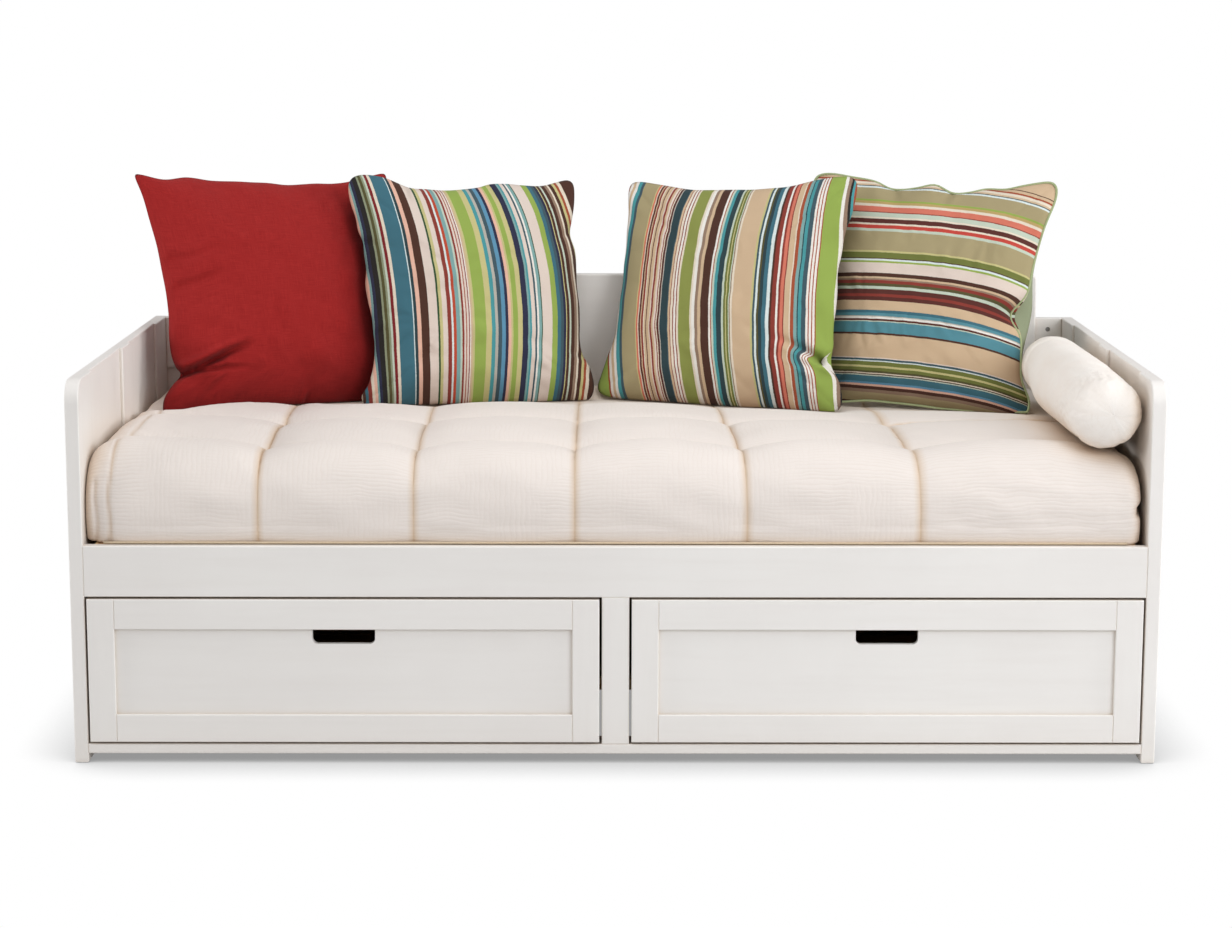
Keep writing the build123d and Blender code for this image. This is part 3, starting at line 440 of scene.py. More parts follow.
# Mesh helpers
def mesh_object(name, points, faces, material, smooth=True):
    mesh = bpy.data.meshes.new(name)
    mesh.from_pydata([tuple(p) for p in points], [], [tuple(int(i) for i in f) for f in faces])
    mesh.materials.append(material)
    mesh.polygons.foreach_set("use_smooth", [smooth] * len(mesh.polygons))
    mesh.update()
    obj = bpy.data.objects.new(name, mesh)
    scene.collection.objects.link(obj)
    return obj


def set_values(obj, name, values):
    """Give each point of a mesh a number or a vector under a name."""
    values = np.asarray(values, np.float32)
    kind, key = ("FLOAT", "value") if values.ndim == 1 else ("FLOAT_VECTOR", "vector")
    obj.data.attributes.new(name, kind, "POINT").data.foreach_set(key, values.ravel())


def get_points(mesh):
    co = np.empty(len(mesh.vertices) * 3, np.float32)
    mesh.vertices.foreach_get("co", co)
    return co.reshape(-1, 3).astype(float)


def value_noise(p, scale, seed):
    """Smooth seeded noise from -1 to 1 at points of any dimension, summed from fixed sine waves."""
    rng = np.random.default_rng(seed)
    p = np.asarray(p, float)
    total = np.zeros(len(p))
    for _ in range(14):
        way = rng.normal(size=p.shape[1])
        way /= np.linalg.norm(way)
        total += np.sin(p @ (way * 2 * math.pi / scale * rng.uniform(0.55, 1.6)) + rng.uniform(0, 6.28))
    return total / 4.2


def smooth_min(a, b, k):
    """The lower of two heights, rounded where they meet."""
    h = np.clip(0.5 + 0.5 * (b - a) / k, 0, 1)
    return b * (1 - h) + a * h - k * h * (1 - h)


def ring_faces(rings, sides, closed=False):
    """Quads from each ring of points to the next, and from the last to the first where closed."""
    faces = []
    for i in range(rings if closed else rings - 1):
        a, b = i * sides, (i + 1) % rings * sides
        for j in range(sides):
            k = (j + 1) % sides
            faces.append((a + j, a + k, b + k, b + j))
    return faces


def tube(name, path, radius, material, closed=True, sides=10):
    """A round piping or cord along a list of points."""
    path = np.asarray(path, float)
    n = len(path)
    ahead = np.roll(path, -1, 0) - np.roll(path, 1, 0)
    if not closed:
        ahead[0], ahead[-1] = path[1] - path[0], path[-1] - path[-2]
    ahead /= np.linalg.norm(ahead, axis=1)[:, None]
    up = np.array([0.0, 0.0, 1.0]) if abs(ahead[0][2]) < 0.8 else np.array([1.0, 0.0, 0.0])
    verts = []
    for k in range(n):
        side = np.cross(ahead[k], up)
        side /= np.linalg.norm(side)
        up = np.cross(side, ahead[k])
        for s in range(sides):
            a = 2 * math.pi * s / sides
            verts.append(path[k] + radius * (math.cos(a) * side + math.sin(a) * up))
    faces = ring_faces(n, sides, closed)
    if not closed:
        faces.append(tuple(reversed(range(sides))))
        faces.append(tuple(range((n - 1) * sides, n * sides)))
    return mesh_object(name, verts, faces, material)


def run_cloth(obj, cut, rim, pressure, frames):
    """Inflate a sewn cover, held at its rim, whose panels were cut to the shape given as cut."""
    obj.shape_key_add(name="Basis")
    key = obj.shape_key_add(name="cut")
    key.data.foreach_set("co", np.asarray(cut, np.float32).ravel())
    group = obj.vertex_groups.new(name="rim")
    group.add([int(i) for i in rim], 1.0, "REPLACE")
    mod = obj.modifiers.new("Cloth", "CLOTH")
    s = mod.settings
    s.quality = 7
    s.mass = 0.3
    s.air_damping = 2.0
    s.tension_stiffness = s.compression_stiffness = 30.0
    s.shear_stiffness = 12.0
    s.bending_stiffness = 1.2
    s.tension_damping = s.compression_damping = 8.0
    s.bending_damping = 0.8
    s.use_pressure = True
    s.uniform_pressure_force = pressure
    s.rest_shape_key = key
    s.vertex_group_mass = "rim"
    s.pin_stiffness = 1.0
    s.effector_weights.gravity = 0.0
    mod.collision_settings.use_collision = False
    mod.point_cache.frame_start = 1
    mod.point_cache.frame_end = frames
    for f in range(1, frames + 1):
        scene.frame_set(f)
    done = obj.evaluated_get(bpy.context.evaluated_depsgraph_get())
    co = get_points(done.data)
    obj.modifiers.remove(mod)
    obj.shape_key_clear()
    obj.vertex_groups.clear()
    scene.frame_set(1)
    return co


# Mattress: its seams along and across the bed, and the places round its section
SEAMS_FRONT = np.array([-PAD_X, -0.6495, -0.367, -0.0745, 0.2395, 0.5545, PAD_X])
SEAMS_REAR = np.array([-PAD_X, -0.656, -0.370, -0.073, 0.205, 0.522, PAD_X])
ROWS = (FRONT + 0.198, FRONT + 0.512, FRONT + 0.792)
PAD_FRONT, PAD_BACK = PAD_Y0 + 0.002, PAD_Y1 - 0.004
BROW_Y, NAPE_Y = FRONT + 0.120, FRONT + 0.890
PAD_FOOT, FACE_TOP, BACK_TOP = DECK + 0.0006, DECK + 0.055, DECK + 0.05
CROWN_TOP = 0.5835
PAD_MIDDLE = 0.470
SEAM_DEPTH = 0.025
TUCK = 0.010
LAST_CELL = 5
TOP_STRETCHES = ("c0", "c1", "c2", "c3", "brow")

# The dent under a pillow: slope, curve, share of the tufts that is left, and half of its length
RED_DENT = (0.10, 4.0, 0.0, 0.262)
STRIPED_DENT = (0.078, 0.0, 0.6, 0.235)
PILLOW_FOOT = 0.5488
DENT_Z = PILLOW_FOOT - 0.0013
COVER_FOOT = PILLOW_FOOT + 0.0004
CORD_FOOT = PILLOW_FOOT + 0.0037


def pillow_frames():
    """Middle plane of each pillow: centre, across, up and facing, as the CAD places them."""
    table = {
        "red_pillow": (-0.727, 0.8214, 0.490, 25.0, 17.0),
        "left_striped_pillow": (-0.313, 0.85, 0.480, 11.0, 16.0),
        "right_striped_pillow": (0.252, 0.82, 0.480, -20.0, 17.0),
        "rear_striped_pillow": (0.684, 0.777, 0.480, -17.0, 19.0),
    }
    out = {}
    for name, (xs, ys, height, turn, lean) in table.items():
        t, l = math.radians(turn), math.radians(lean)
        across = np.array([math.cos(t), math.sin(t), 0.0])
        facing = np.array([math.sin(t) * math.cos(l), -math.cos(t) * math.cos(l), math.sin(l)])
        up = np.cross(facing, across)
        centre = np.array([xs * INNER, FRONT + ys * 1.03, PILLOW_FOOT + height / 2 * math.cos(l)])
        out[name] = (centre, across, up, facing, height)
    return out


PILLOWS = pillow_frames()
BOLSTER = [(a + b) / 2 for a, b in zip(*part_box("bolster"))]
BOLSTER_R = 0.0667


def cell_profile(t):
    """How far a quilted cell has risen across it: 0 at its seams, 1 in the middle."""
    return (1 - np.abs(2 * np.clip(t, 0, 1) - 1) ** 1.8) ** 0.66


def closer_at_seams(t):
    """Spread shares from 0 to 1 so that they lie closer together near both ends."""
    return t - 0.125 * math.sin(2 * math.pi * t)


def press(x, y, z):
    """Lower the pad's top where a pillow or the bolster stands on it."""
    for name, (centre, across, up, facing, height) in PILLOWS.items():
        slope, dip, keep, reach = RED_DENT if name == "red_pillow" else STRIPED_DENT
        foot = centre - up * height / 2
        rel = np.stack([x - foot[0], y - foot[1]], 1)
        way = across[:2] / np.linalg.norm(across[:2])
        along = rel @ way
        off = np.abs(rel @ np.array([-way[1], way[0]]))
        past = np.maximum(np.abs(along) - reach, 0.0)
        dip = dip * np.clip(0.35 + (along + reach) / 0.2, 0.35, 1)
        d = np.hypot(off, past)
        low = smooth_min(z, DENT_Z + dip * d ** 2 + slope * np.maximum(d - 0.03, 0), 0.010)
        z = low + (z - low) * keep * np.clip((d - 0.02) / 0.1, 0, 1)
    trough = BOLSTER_R + 0.007
    dx = np.abs(x - BOLSTER[0] + 0.003) / trough
    under = BOLSTER[2] - 0.0015 - trough * np.sqrt(1 - np.clip(dx, 0, 0.98) ** 2)
    inside = (np.abs(y - BOLSTER[1]) < 0.37) & (dx < 0.97)
    return np.where(inside, smooth_min(z, under, 0.004), z)


def pad_loop():
    """The loop round the pad, front to back, as (stretch, share along it)."""
    stretches = (("low", 16), ("face", 12), ("brow", 20), ("c0", 14), ("c1", 42), ("c2", 40), ("c3", 14),
                 ("nape", 14), ("back", 8))
    return [(kind, k / n) for kind, n in stretches for k in range(n)]


def pad_depth(kind, s):
    """Place from front to back on a stretch, how far its row has risen there, and the row's number."""
    if kind == "low":
        return PAD_BACK - 0.03 + (PAD_FRONT + 0.012 - PAD_BACK + 0.03) * s, 1.0, 0
    if kind == "face":
        return PAD_FRONT, 1.0, 0
    if kind == "brow":
        return PAD_FRONT + (BROW_Y - PAD_FRONT) * s, 1.0, 0
    if kind == "c0":
        q = 1 - (1 - s) ** 1.35
        return BROW_Y + (ROWS[0] - BROW_Y) * q, float(cell_profile(0.5 + 0.5 * q)), 0
    if kind in ("c1", "c2"):
        row = int(kind[1])
        q = closer_at_seams(s)
        return ROWS[row - 1] + (ROWS[row] - ROWS[row - 1]) * q, float(cell_profile(q)), row
    if kind == "c3":
        q = s ** 1.35
        return ROWS[2] + (NAPE_Y - ROWS[2]) * q, float(cell_profile(0.5 * q)), 3
    return NAPE_Y, 1.0, 3


def pad_point(kind, s, y, top, face_in):
    """Place in the section, from the height of the top and how far the front is tucked in there."""
    a = s * math.pi / 2
    if kind == "low":
        return y, PAD_FOOT
    if kind == "face":
        y = PAD_FRONT + 0.010 * (1 - s) ** 2 + face_in * (0.45 + 0.55 * s)
        return y, PAD_FOOT + (FACE_TOP - PAD_FOOT) * s
    if kind == "brow":
        y = PAD_FRONT + (BROW_Y - PAD_FRONT) * (1 - math.cos(a) ** 0.92) + face_in * (1 - s)
        return y, FACE_TOP + (top - FACE_TOP) * math.sin(a) ** 0.86
    if kind == "nape":
        y = NAPE_Y + (PAD_BACK - NAPE_Y) * math.sin(a)
        return y, BACK_TOP + (top - BACK_TOP) * math.cos(a) ** 0.8
    if kind == "back":
        return PAD_BACK - 0.008 * s, BACK_TOP + (PAD_FOOT - BACK_TOP) * s
    return y, top


def pad_rings():
    """Sections of the pad along the bed; for each point its rise from the seams and if it is on top."""
    cols = []
    for k, n in enumerate((72, 38, 38, 38, 38, 64)):
        cols += [(k, closer_at_seams(i / n)) for i in range(n)]
    cols.append((LAST_CELL, 1.0))
    rings, info = [], []
    lift = np.random.default_rng(5).uniform(-0.004, 0.003, (LAST_CELL + 1, 4))
    for k, t in cols:
        open_end = (k == 0 and t < 0.5) or (k == LAST_CELL and t > 0.5)
        col = 1.0 if open_end else float(cell_profile(t))
        row_share = 0.3 + 1.4 * min(t, 1 - t) if open_end else 1.0
        row_depth = (0.018 + 0.012 * col) * row_share
        ring, data = [], []
        for kind, s in pad_loop():
            y, row, cell = pad_depth(kind, s)
            share = min(max((y - FRONT) / 0.8, 0.0), 1.0)
            seam = SEAMS_FRONT + (SEAMS_REAR - SEAMS_FRONT) * share
            x = seam[k] + (seam[k + 1] - seam[k]) * t
            top = CROWN_TOP + lift[k][cell] - SEAM_DEPTH * (1 - col) - row_depth * (1 - row)
            ring.append((x, *pad_point(kind, s, y, top, TUCK * (1 - col))))
            data.append((col, row, 1.0 if kind in TOP_STRETCHES else 0.0))
        rings.append(ring)
        info.append(data)
    return np.array(rings), np.array(info)


def round_ends(P):
    """Draw every section near an end in towards the middle, and give the left end its seam."""
    x, y, z = P[..., 0], P[..., 1], P[..., 2]
    middle = (PAD_FRONT + PAD_BACK) / 2
    left = x < 0
    x[:] = np.where(left, x * (1 + 0.0078 * np.clip((-x - 0.7) / 0.25, 0, 1)), x)
    reach = np.where(left, 0.9644 + x, PAD_X - x)
    slope = np.clip((x - 0.79) / 0.15, 0, 1) ** 1.3
    z -= 0.028 * slope * np.clip((z - PAD_MIDDLE) / (CROWN_TOP - PAD_MIDDLE), 0, 1)
    roll = np.where(left, 0.085, 0.034)
    full = np.sqrt(np.clip(1 - np.clip(1 - reach / roll, 0, 1) ** 2.2, 0, 1))
    behind = np.clip((y - FRONT - 0.35) / 0.5, 0, 1)
    least = np.where(left, 0.66 - 0.16 * behind, 0.64)
    shrink = np.where(z > PAD_MIDDLE, least + (1 - least) * full, 0.90 + 0.10 * full)
    z[:] = PAD_MIDDLE + (z - PAD_MIDDLE) * shrink
    y[:] = middle + (y - middle) * (0.94 + 0.06 * full)
    # The end panel's seam on the left, and a fold beside it near the foot
    wave = np.sin(z * 60)
    line = np.exp(-((x + 0.918 - 0.0015 * wave - 0.012 * np.clip((y + 0.5) / 0.3, 0, 1)) / 0.0034) ** 2)
    z -= 0.0040 * line * (z > 0.53)
    y += 0.0040 * line * (z <= 0.53) * (y < 0)
    low = (z < 0.52) & (y < -0.4)
    y += 0.0045 * low * np.exp(-((x + 0.944 - 0.002 * np.sin(z * 60)) / 0.004) ** 2)
    # A pinch half way up the right end
    x -= 0.011 * np.exp(-((z - 0.466) / 0.010) ** 2) * np.clip(1 - (PAD_X - x) / 0.03, 0, 1)
    return line


def soften(flat, col, row, on_top):
    """Unevenness, puckers beside the seams, long creases at the right end, and the dents."""
    x, y, z = flat.T
    up = (z > DECK + 0.03).astype(float)
    ripple = np.sin(y * 150 + 3 * value_noise(flat[:, :2], 0.12, 3)) * np.exp(-col * 5)
    ripple += np.sin(x * 140 + 3 * value_noise(flat[:, :2], 0.12, 4)) * np.exp(-row * 5) * on_top
    uneven = 0.0016 * value_noise(flat, 0.16, 7) + 0.0007 * value_noise(flat, 0.05, 8)
    z += up * (0.0011 * ripple + uneven)
    creased = np.clip((x - 0.5) / 0.12, 0, 1) * (z < 0.56) * up
    tilt = z - 0.022 * (x - 0.75)
    phase = tilt * 2 * math.pi / 0.0125 + 2.5 * value_noise(flat[:, :1], 0.3, 12)
    y += creased * 0.0009 * np.sin(phase)
    front = np.exp(-((y - PAD_Y0) / 0.05) ** 2) * up
    y += front * 0.0016 * (1 + value_noise(flat, 0.09, 9))
    y[:] = np.maximum(y, PAD_Y0 - 0.004)
    top = on_top > 0.5
    z[top] = press(x[top], y[top], z[top])


def mattress():
    P, info = pad_rings()
    m, n = P.shape[:2]
    line = round_ends(P)
    col, row, on_top = info.reshape(-1, 3).T
    soften(P.reshape(-1, 3), col, row, on_top)
    # Cloth coordinates: metres along the bed and round the section
    step = np.linalg.norm(np.diff(P[m // 2], axis=0), axis=1)
    round_v = np.concatenate([[0.0], np.cumsum(step)])
    points = [p for ring in P for p in ring]
    cloth = [(P[i, j, 0], round_v[j], 0.0) for i in range(m) for j in range(n)]
    crease = np.maximum(np.clip(1 - col / 0.28, 0, 1) * 0.9, np.clip(1 - row / 0.2, 0, 1) * 0.6)
    crease = list(np.maximum(crease, line.ravel() * 0.6))
    faces = ring_faces(m, n)
    # Ends: loops that shrink towards the middle, closed by one flat face each
    middle = (PAD_FRONT + PAD_BACK) / 2
    for side, first in ((-1, 0), (1, m - 1)):
        base = P[first].copy()
        prev = [first * n + j for j in range(n)]
        for q, out in ((0.08, 0.0004), (0.25, 0.0008), (0.5, 0.0010), (0.8, 0.0010)):
            ring = base.copy()
            ring[:, 2] = PAD_MIDDLE + (base[:, 2] - PAD_MIDDLE) * (1 - q)
            ring[:, 1] = middle + (base[:, 1] - middle) * (1 - q * 0.12)
            ring[:, 0] = base[:, 0] + side * out
            ids = list(range(len(points), len(points) + n))
            points += list(ring)
            cloth += [(p[1], p[2], 0.0) for p in ring]
            crease += [0.0] * n
            for j in range(n):
                k = (j + 1) % n
                quad = (prev[j], prev[k], ids[k], ids[j])
                faces.append(quad if side > 0 else tuple(reversed(quad)))
            prev = ids
        faces.append(tuple(prev) if side > 0 else tuple(reversed(prev)))
    faces = [tuple(reversed(f)) for f in faces]
    obj = mesh_object("mattress_pad", points, faces, MAT["mattress"])
    set_values(obj, "cloth", cloth)
    set_values(obj, "crease", crease)
    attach(obj, "bed")
    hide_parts("mattress")


# Pillows: cells along a simulated panel, and how much larger the cloth is cut than the outline
CELLS = 60
CUT_SHARE = 1.045


def through(places, knots):
    """A smooth curve from 0 to 0 through knots given as (place, value), read at the places."""
    x, y = np.array([(-1, 0), *knots, (1, 0)], float).T
    slope = np.gradient(y, x)
    k = np.clip(np.searchsorted(x, places) - 1, 0, len(x) - 2)
    span = x[k + 1] - x[k]
    t = np.clip((places - x[k]) / span, 0, 1)
    a, b = (1 + 2 * t) * (1 - t) ** 2, t ** 2 * (3 - 2 * t)
    return a * y[k] + b * y[k + 1] + t * (1 - t) * span * ((1 - t) * slope[k] - t * slope[k + 1])


def outline_map(u, v, corners, pulls, round_by):
    """Carry a square panel to a pillow's outline, whose four sides are drawn in between the corners."""
    most = np.maximum(np.abs(u), np.abs(v))
    norm = (np.abs(u) ** round_by + np.abs(v) ** round_by) ** (1 / round_by)
    shrink = np.where(norm > 0, most / np.maximum(norm, 1e-9), 1.0)
    u, v = u * shrink, v * shrink
    tl, tr, br, bl = [np.array(c) * 1.035 for c in corners]
    left, top, right, bottom = pulls
    a, b = (1 + u) / 2, (1 + v) / 2
    flat = (((1 - a) * b)[:, None] * tl + (a * b)[:, None] * tr
            + (a * (1 - b))[:, None] * br + ((1 - a) * (1 - b))[:, None] * bl)
    flat[:, 0] += through(v, left) * (1 - a) - through(v, right) * a
    flat[:, 1] += through(u, bottom) * (1 - b) - through(u, top) * b
    return flat


def cover_grid(n):
    """Two square panels of n by n cells that share their rim: places, faces and the rim's order."""
    lin = np.linspace(-1, 1, n + 1)
    index = {}
    panel = []
    for side in (1, -1):
        for j in range(n + 1):
            for i in range(n + 1):
                edge = i in (0, n) or j in (0, n)
                if side < 0 and edge:
                    index[side, i, j] = index[1, i, j]
                    continue
                index[side, i, j] = len(panel)
                panel.append((lin[i], lin[j], 0.0 if edge else float(side)))
    faces = []
    for side in (1, -1):
        for j in range(n):
            for i in range(n):
                q = [index[side, a, b] for a, b in ((i, j), (i + 1, j), (i + 1, j + 1), (i, j + 1))]
                faces.append(q if side > 0 else q[::-1])
    rim = [(i, 0) for i in range(n)] + [(n, j) for j in range(n)]
    rim += [(i, n) for i in range(n, 0, -1)] + [(0, j) for j in range(n, 0, -1)]
    return index, np.array(panel), faces, [index[1, i, j] for i, j in rim]


def refine(co, coarse, fine, n):
    """Carry points of a cover on n cells to one on twice as many, with a cubic through its points."""
    weights = np.zeros((2 * n + 1, n + 1))
    for k in range(n + 1):
        weights[2 * k, k] = 1.0
    for k in range(n):
        for at, share in ((k - 1, -1 / 16), (k, 9 / 16), (k + 1, 9 / 16), (k + 2, -1 / 16)):
            weights[2 * k + 1, min(max(at, 0), n)] += share
    out = np.zeros((len(fine[1]), 3))
    for side in (-1, 1):
        grid = np.array([[co[coarse[0][side, i, j]] for i in range(n + 1)] for j in range(n + 1)])
        grid = np.einsum("ai,bj,jik->bak", weights, weights, grid)
        for j in range(2 * n + 1):
            for i in range(2 * n + 1):
                out[fine[0][side, i, j]] = grid[j, i]
    return out


def from_notch(u, v, spot, way):
    """Distances from a notch, along the side that it lies on and away from that side."""
    return (v - spot[1], u - spot[0]) if way[0] else (u - spot[0], v - spot[1])


def fold_depth(u, v, side, folds):
    """What folds add to the front: a groove with a ridge beside it, both fading along the fold."""
    depth = np.zeros(len(u))
    for u0, v0, u1, v1, deep, wide in folds:
        line = np.array([u1 - u0, v1 - v0])
        t = np.clip(((u - u0) * line[0] + (v - v0) * line[1]) / (line @ line), 0, 1)
        off = ((u - u0) * -line[1] + (v - v0) * line[0]) / np.linalg.norm(line)
        d = np.hypot(u - u0 - t * line[0], v - v0 - t * line[1]) * np.sign(off)
        groove = np.exp(-(d / wide) ** 2)
        ridge = np.exp(-((d - 2.0 * wide) / (1.3 * wide)) ** 2)
        depth += np.where(side > 0, deep * (0.55 * ridge - groove) * (1 - t ** 2), 0)
    return depth


def stripe_place(flat, lengthwise, first, last, bends):
    """Share across the stripes at each point, where the stripes bend as the photographed ones do."""
    m, o = (flat[:, 0], flat[:, 1]) if lengthwise else (flat[:, 1], flat[:, 0])
    b1, b2, b3, b4, b5 = bends
    place = m - (b1 * o + b2 * o ** 2 + b3 * o ** 3 + b4 * m * o + b5 * m * o ** 2)
    return (place - first) / (last - first)


def pillow(name, corners, pulls, material, seed, size=(0.490, 0.480), thick=0.140,
           folds=(), notches=(), round_by=14, stripes=None, piping=None, lip=0.0):
    """A knife-edge pillow: two panels sewn round the edge, inflated as cloth inside its outline."""
    half = np.array(size) / 2
    coarse, fine = cover_grid(CELLS), cover_grid(2 * CELLS)

    def lay_out(grid):
        """The flat cover on its outline, and how far it is puffed up at each point."""
        u, v, side = grid[1].T
        smooth = outline_map(u, v, corners, pulls, round_by)
        flat = smooth.copy()
        # Pinches draw the seam and the front in. The back keeps its place and shows past the seam
        for spot, way, deep, wide, reach in notches:
            along, off = from_notch(u, v, spot, way)
            near = np.exp(-(along / wide) ** 2 - np.abs(off) / reach)
            flat += (near * np.where(side >= 0, 1.0, 0.12) * deep)[:, None] * np.array(way)
        wave = value_noise(np.stack([u, v], 1), 0.42, seed + 5) * 0.0035
        puffed = side * ((1 - np.abs(u) ** 2.4) * (1 - np.abs(v) ** 2.4)) ** 0.55
        return smooth, flat * half, wave, puffed

    _, flat, wave, puffed = lay_out(coarse)
    start = np.column_stack([flat, wave + puffed * thick * 0.30])
    trial = mesh_object(name + "_trial", start, coarse[2], material)
    u, v, side = coarse[1].T
    cut = np.column_stack([u * half[0] * CUT_SHARE, v * half[1] * CUT_SHARE, side * 0.004])
    co = run_cloth(trial, cut, coarse[3], 9.0, 24)
    bpy.data.objects.remove(trial)
    high = np.sort(co[:, 2])
    tall = high[-30:].mean() - high[:30].mean()
    co[:, 2] = wave + (co[:, 2] - wave) * np.clip(thick / tall, 0.6, 1.5)
    co = refine(co, coarse, fine, CELLS)
    u, v, side = fine[1].T
    rim_ids = fine[3]
    smooth, edge, wave, _ = lay_out(fine)
    co[rim_ids] = np.column_stack([edge, wave])[rim_ids]
    flat, depth = 0.35 * co[:, :2] + 0.65 * edge, co[:, 2] + fold_depth(u, v, side, folds)
    for spot, way, deep, wide, _ in notches:
        along, off = from_notch(u, v, spot, way)
        over = np.sin(np.clip(np.abs(off) / 0.4, 0, 1) * math.pi) * np.exp(-(along / (2.4 * wide)) ** 2)
        flat -= ((side < 0) * over * deep * lip)[:, None] * half * np.array(way)
    inner = np.sqrt(np.clip((1 - u * u) * (1 - v * v), 0, 1))
    uv = np.stack([u, v], 1)
    uneven = value_noise(uv, 0.55, seed) * 0.0018 + value_noise(uv, 0.2, seed + 1) * 0.0007
    depth += side * inner * uneven
    centre, across, up, facing, _ = PILLOWS[name]
    world = centre + flat[:, :1] * across + flat[:, 1:2] * up + depth[:, None] * facing
    world[:, 2] = np.maximum(world[:, 2], COVER_FOOT)
    obj = mesh_object(name + "_cover", world, fine[2], material)
    place = np.zeros(len(u)) if stripes is None else stripe_place(smooth, *stripes)
    set_values(obj, "cloth", np.column_stack([u * half[0], v * half[1], np.zeros(len(u))]))
    set_values(obj, "panel", np.column_stack([place, side, np.zeros(len(u))]))
    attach(obj, "bed")
    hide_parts(name)
    if piping is not None:
        loop = world[rim_ids[::2]]
        loop[:, 2] = np.maximum(loop[:, 2], CORD_FOOT)
        cord = tube(name + "_piping", loop, 0.0026, piping)
        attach(cord, "bed")


# Bolster
def bolster():
    """A stuffed roll with smooth rounded ends, one pinch beside the arm and a fold near its back."""
    lo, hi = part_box("bolster")
    cx, _, cz = BOLSTER
    y0, y1 = lo.y + 0.001, hi.y - 0.001
    sides = 96
    long = y1 - y0
    cap = 0.060
    stations = []
    for k in range(16):
        a = (k + 0.3) / 16 * math.pi / 2
        stations.append((cap * (1 - math.cos(a)), math.sin(a) ** 0.82))
    stations += [(cap + (long - 2 * cap) * k / 100, 1.0) for k in range(101)]
    stations += [(long - d, r) for d, r in reversed(stations[:16])]
    P = []
    for d, share in stations:
        r = 0.0600 + 0.0058 * (1 - (2 * d / long - 1) ** 2) ** 0.8
        for k in range(sides):
            P.append((2 * math.pi * k / sides, d, r * share, share))
    a, d, r, share = np.array(P).T
    ring = np.stack([np.cos(a), np.sin(a), d * 7], 1)
    r = r + (0.0011 * value_noise(ring, 1.7, 21) + 0.0005 * value_noise(ring, 0.6, 22)) * share
    r = r + 0.0015 * np.cos(a * 2) * share
    # It sags on to the mattress on its open side, except where the rear pillow leans beside it
    r += 0.0100 * np.clip(np.cos(a - 4.1), 0, 1) * share * np.clip((0.60 - d) / 0.12, 0, 1)
    # Gathers of the cover towards the front end
    gather = np.stack([np.cos(a) * 1.5, np.sin(a) * 1.5, d * 16], 1)
    front = share * np.exp(-((d - 0.09) / 0.10) ** 2)
    r -= 0.0030 * np.clip(1 - 3.5 * np.abs(value_noise(gather, 0.62, 23)), 0, 1) * front
    r -= 0.0018 * np.clip(1 - 4.0 * np.abs(value_noise(gather, 0.36, 24)), 0, 1) * front
    # Pinch beside the arm, with a short fold that runs from it
    turn = np.angle(np.exp(1j * (a - 0.72)))
    off = d - 0.235
    r -= 0.010 * np.exp(-(turn / 0.28) ** 2 - (off / 0.016) ** 2)
    near = np.exp(-((turn - 0.55) / 0.5) ** 2)
    r -= 0.0035 * np.exp(-((off - 0.03 * (turn - 0.5)) / 0.007) ** 2) * near
    # Fold of the cover near the back, and one pucker low at the front
    back = d - (long - 0.135) - 0.02 * np.sin(a - 0.6)
    open_side = np.clip(np.cos(a - 2.3), 0, 1)
    r -= 0.0030 * np.exp(-(back / 0.006) ** 2) * (0.35 + 0.65 * open_side)
    r += 0.0016 * np.exp(-((back - 0.014) / 0.009) ** 2) * open_side
    low = np.angle(np.exp(1j * (a - 3.95)))
    r -= 0.0030 * np.exp(-((low - (d - 0.10) * 1.5) / 0.10) ** 2 - ((d - 0.10) / 0.05) ** 2)
    X = np.minimum(cx + r * np.cos(a), INNER - 0.0012)
    Z = cz + r * np.sin(a)
    pts = np.stack([X, y0 + d, Z], 1)
    n = len(stations)
    faces = [(a, d, c, b) for a, b, c, d in ring_faces(n, sides)]
    faces.append(tuple(range(sides)))
    faces.append(tuple(reversed(range((n - 1) * sides, n * sides))))
    obj = mesh_object("bolster_cover", pts, faces, MAT["bolster"])
    set_values(obj, "cloth", np.stack([a * 0.066, d, np.zeros(len(a))], 1))
    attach(obj, "bed")
    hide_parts("bolster")
    sub = obj.modifiers.new("Subdivision", "SUBSURF")
    sub.levels = sub.render_levels = 1


# Build: each pillow gets its corners from the top left round in shares of its half size, and then
# the knots between them of how far its left, top, right and bottom sides are drawn in
MAT = {
    "paint_x": painted_wood("X"), "paint_y": painted_wood("Y"), "paint_z": painted_wood("Z"),
    "pine_x": raw_wood("pine_x", "X", rgb(224, 192, 144), rgb(196, 152, 100)),
    "pine_y": raw_wood("pine_y", "Y", rgb(226, 196, 150), rgb(198, 156, 106)),
    "birch_y": raw_wood("birch_y", "Y", rgb(228, 204, 166), rgb(208, 176, 130), 0.6),
    "birch_x": raw_wood("birch_x", "X", rgb(228, 204, 166), rgb(208, 176, 130), 0.6),
    "steel": metal("zinc_steel"),
    "plastic": plastic("glide_plastic"),
    "mattress": crinkled_cotton(),
    "bolster": muslin(),
    "red": red_linen(),
    "left": striped_cotton("left_stripes", LEFT_STRIPES),
    "right": striped_cotton("right_stripes", RIGHT_STRIPES),
    "rear": striped_cotton("rear_stripes", REAR_STRIPES, plain="sage"),
    "sage_cord": plain_cloth("sage_cloth", rgb(150, 164, 120), rgb(178, 190, 148)),
    "tan_cord": plain_cloth("tan_cloth", rgb(206, 186, 156), rgb(228, 212, 188)),
}


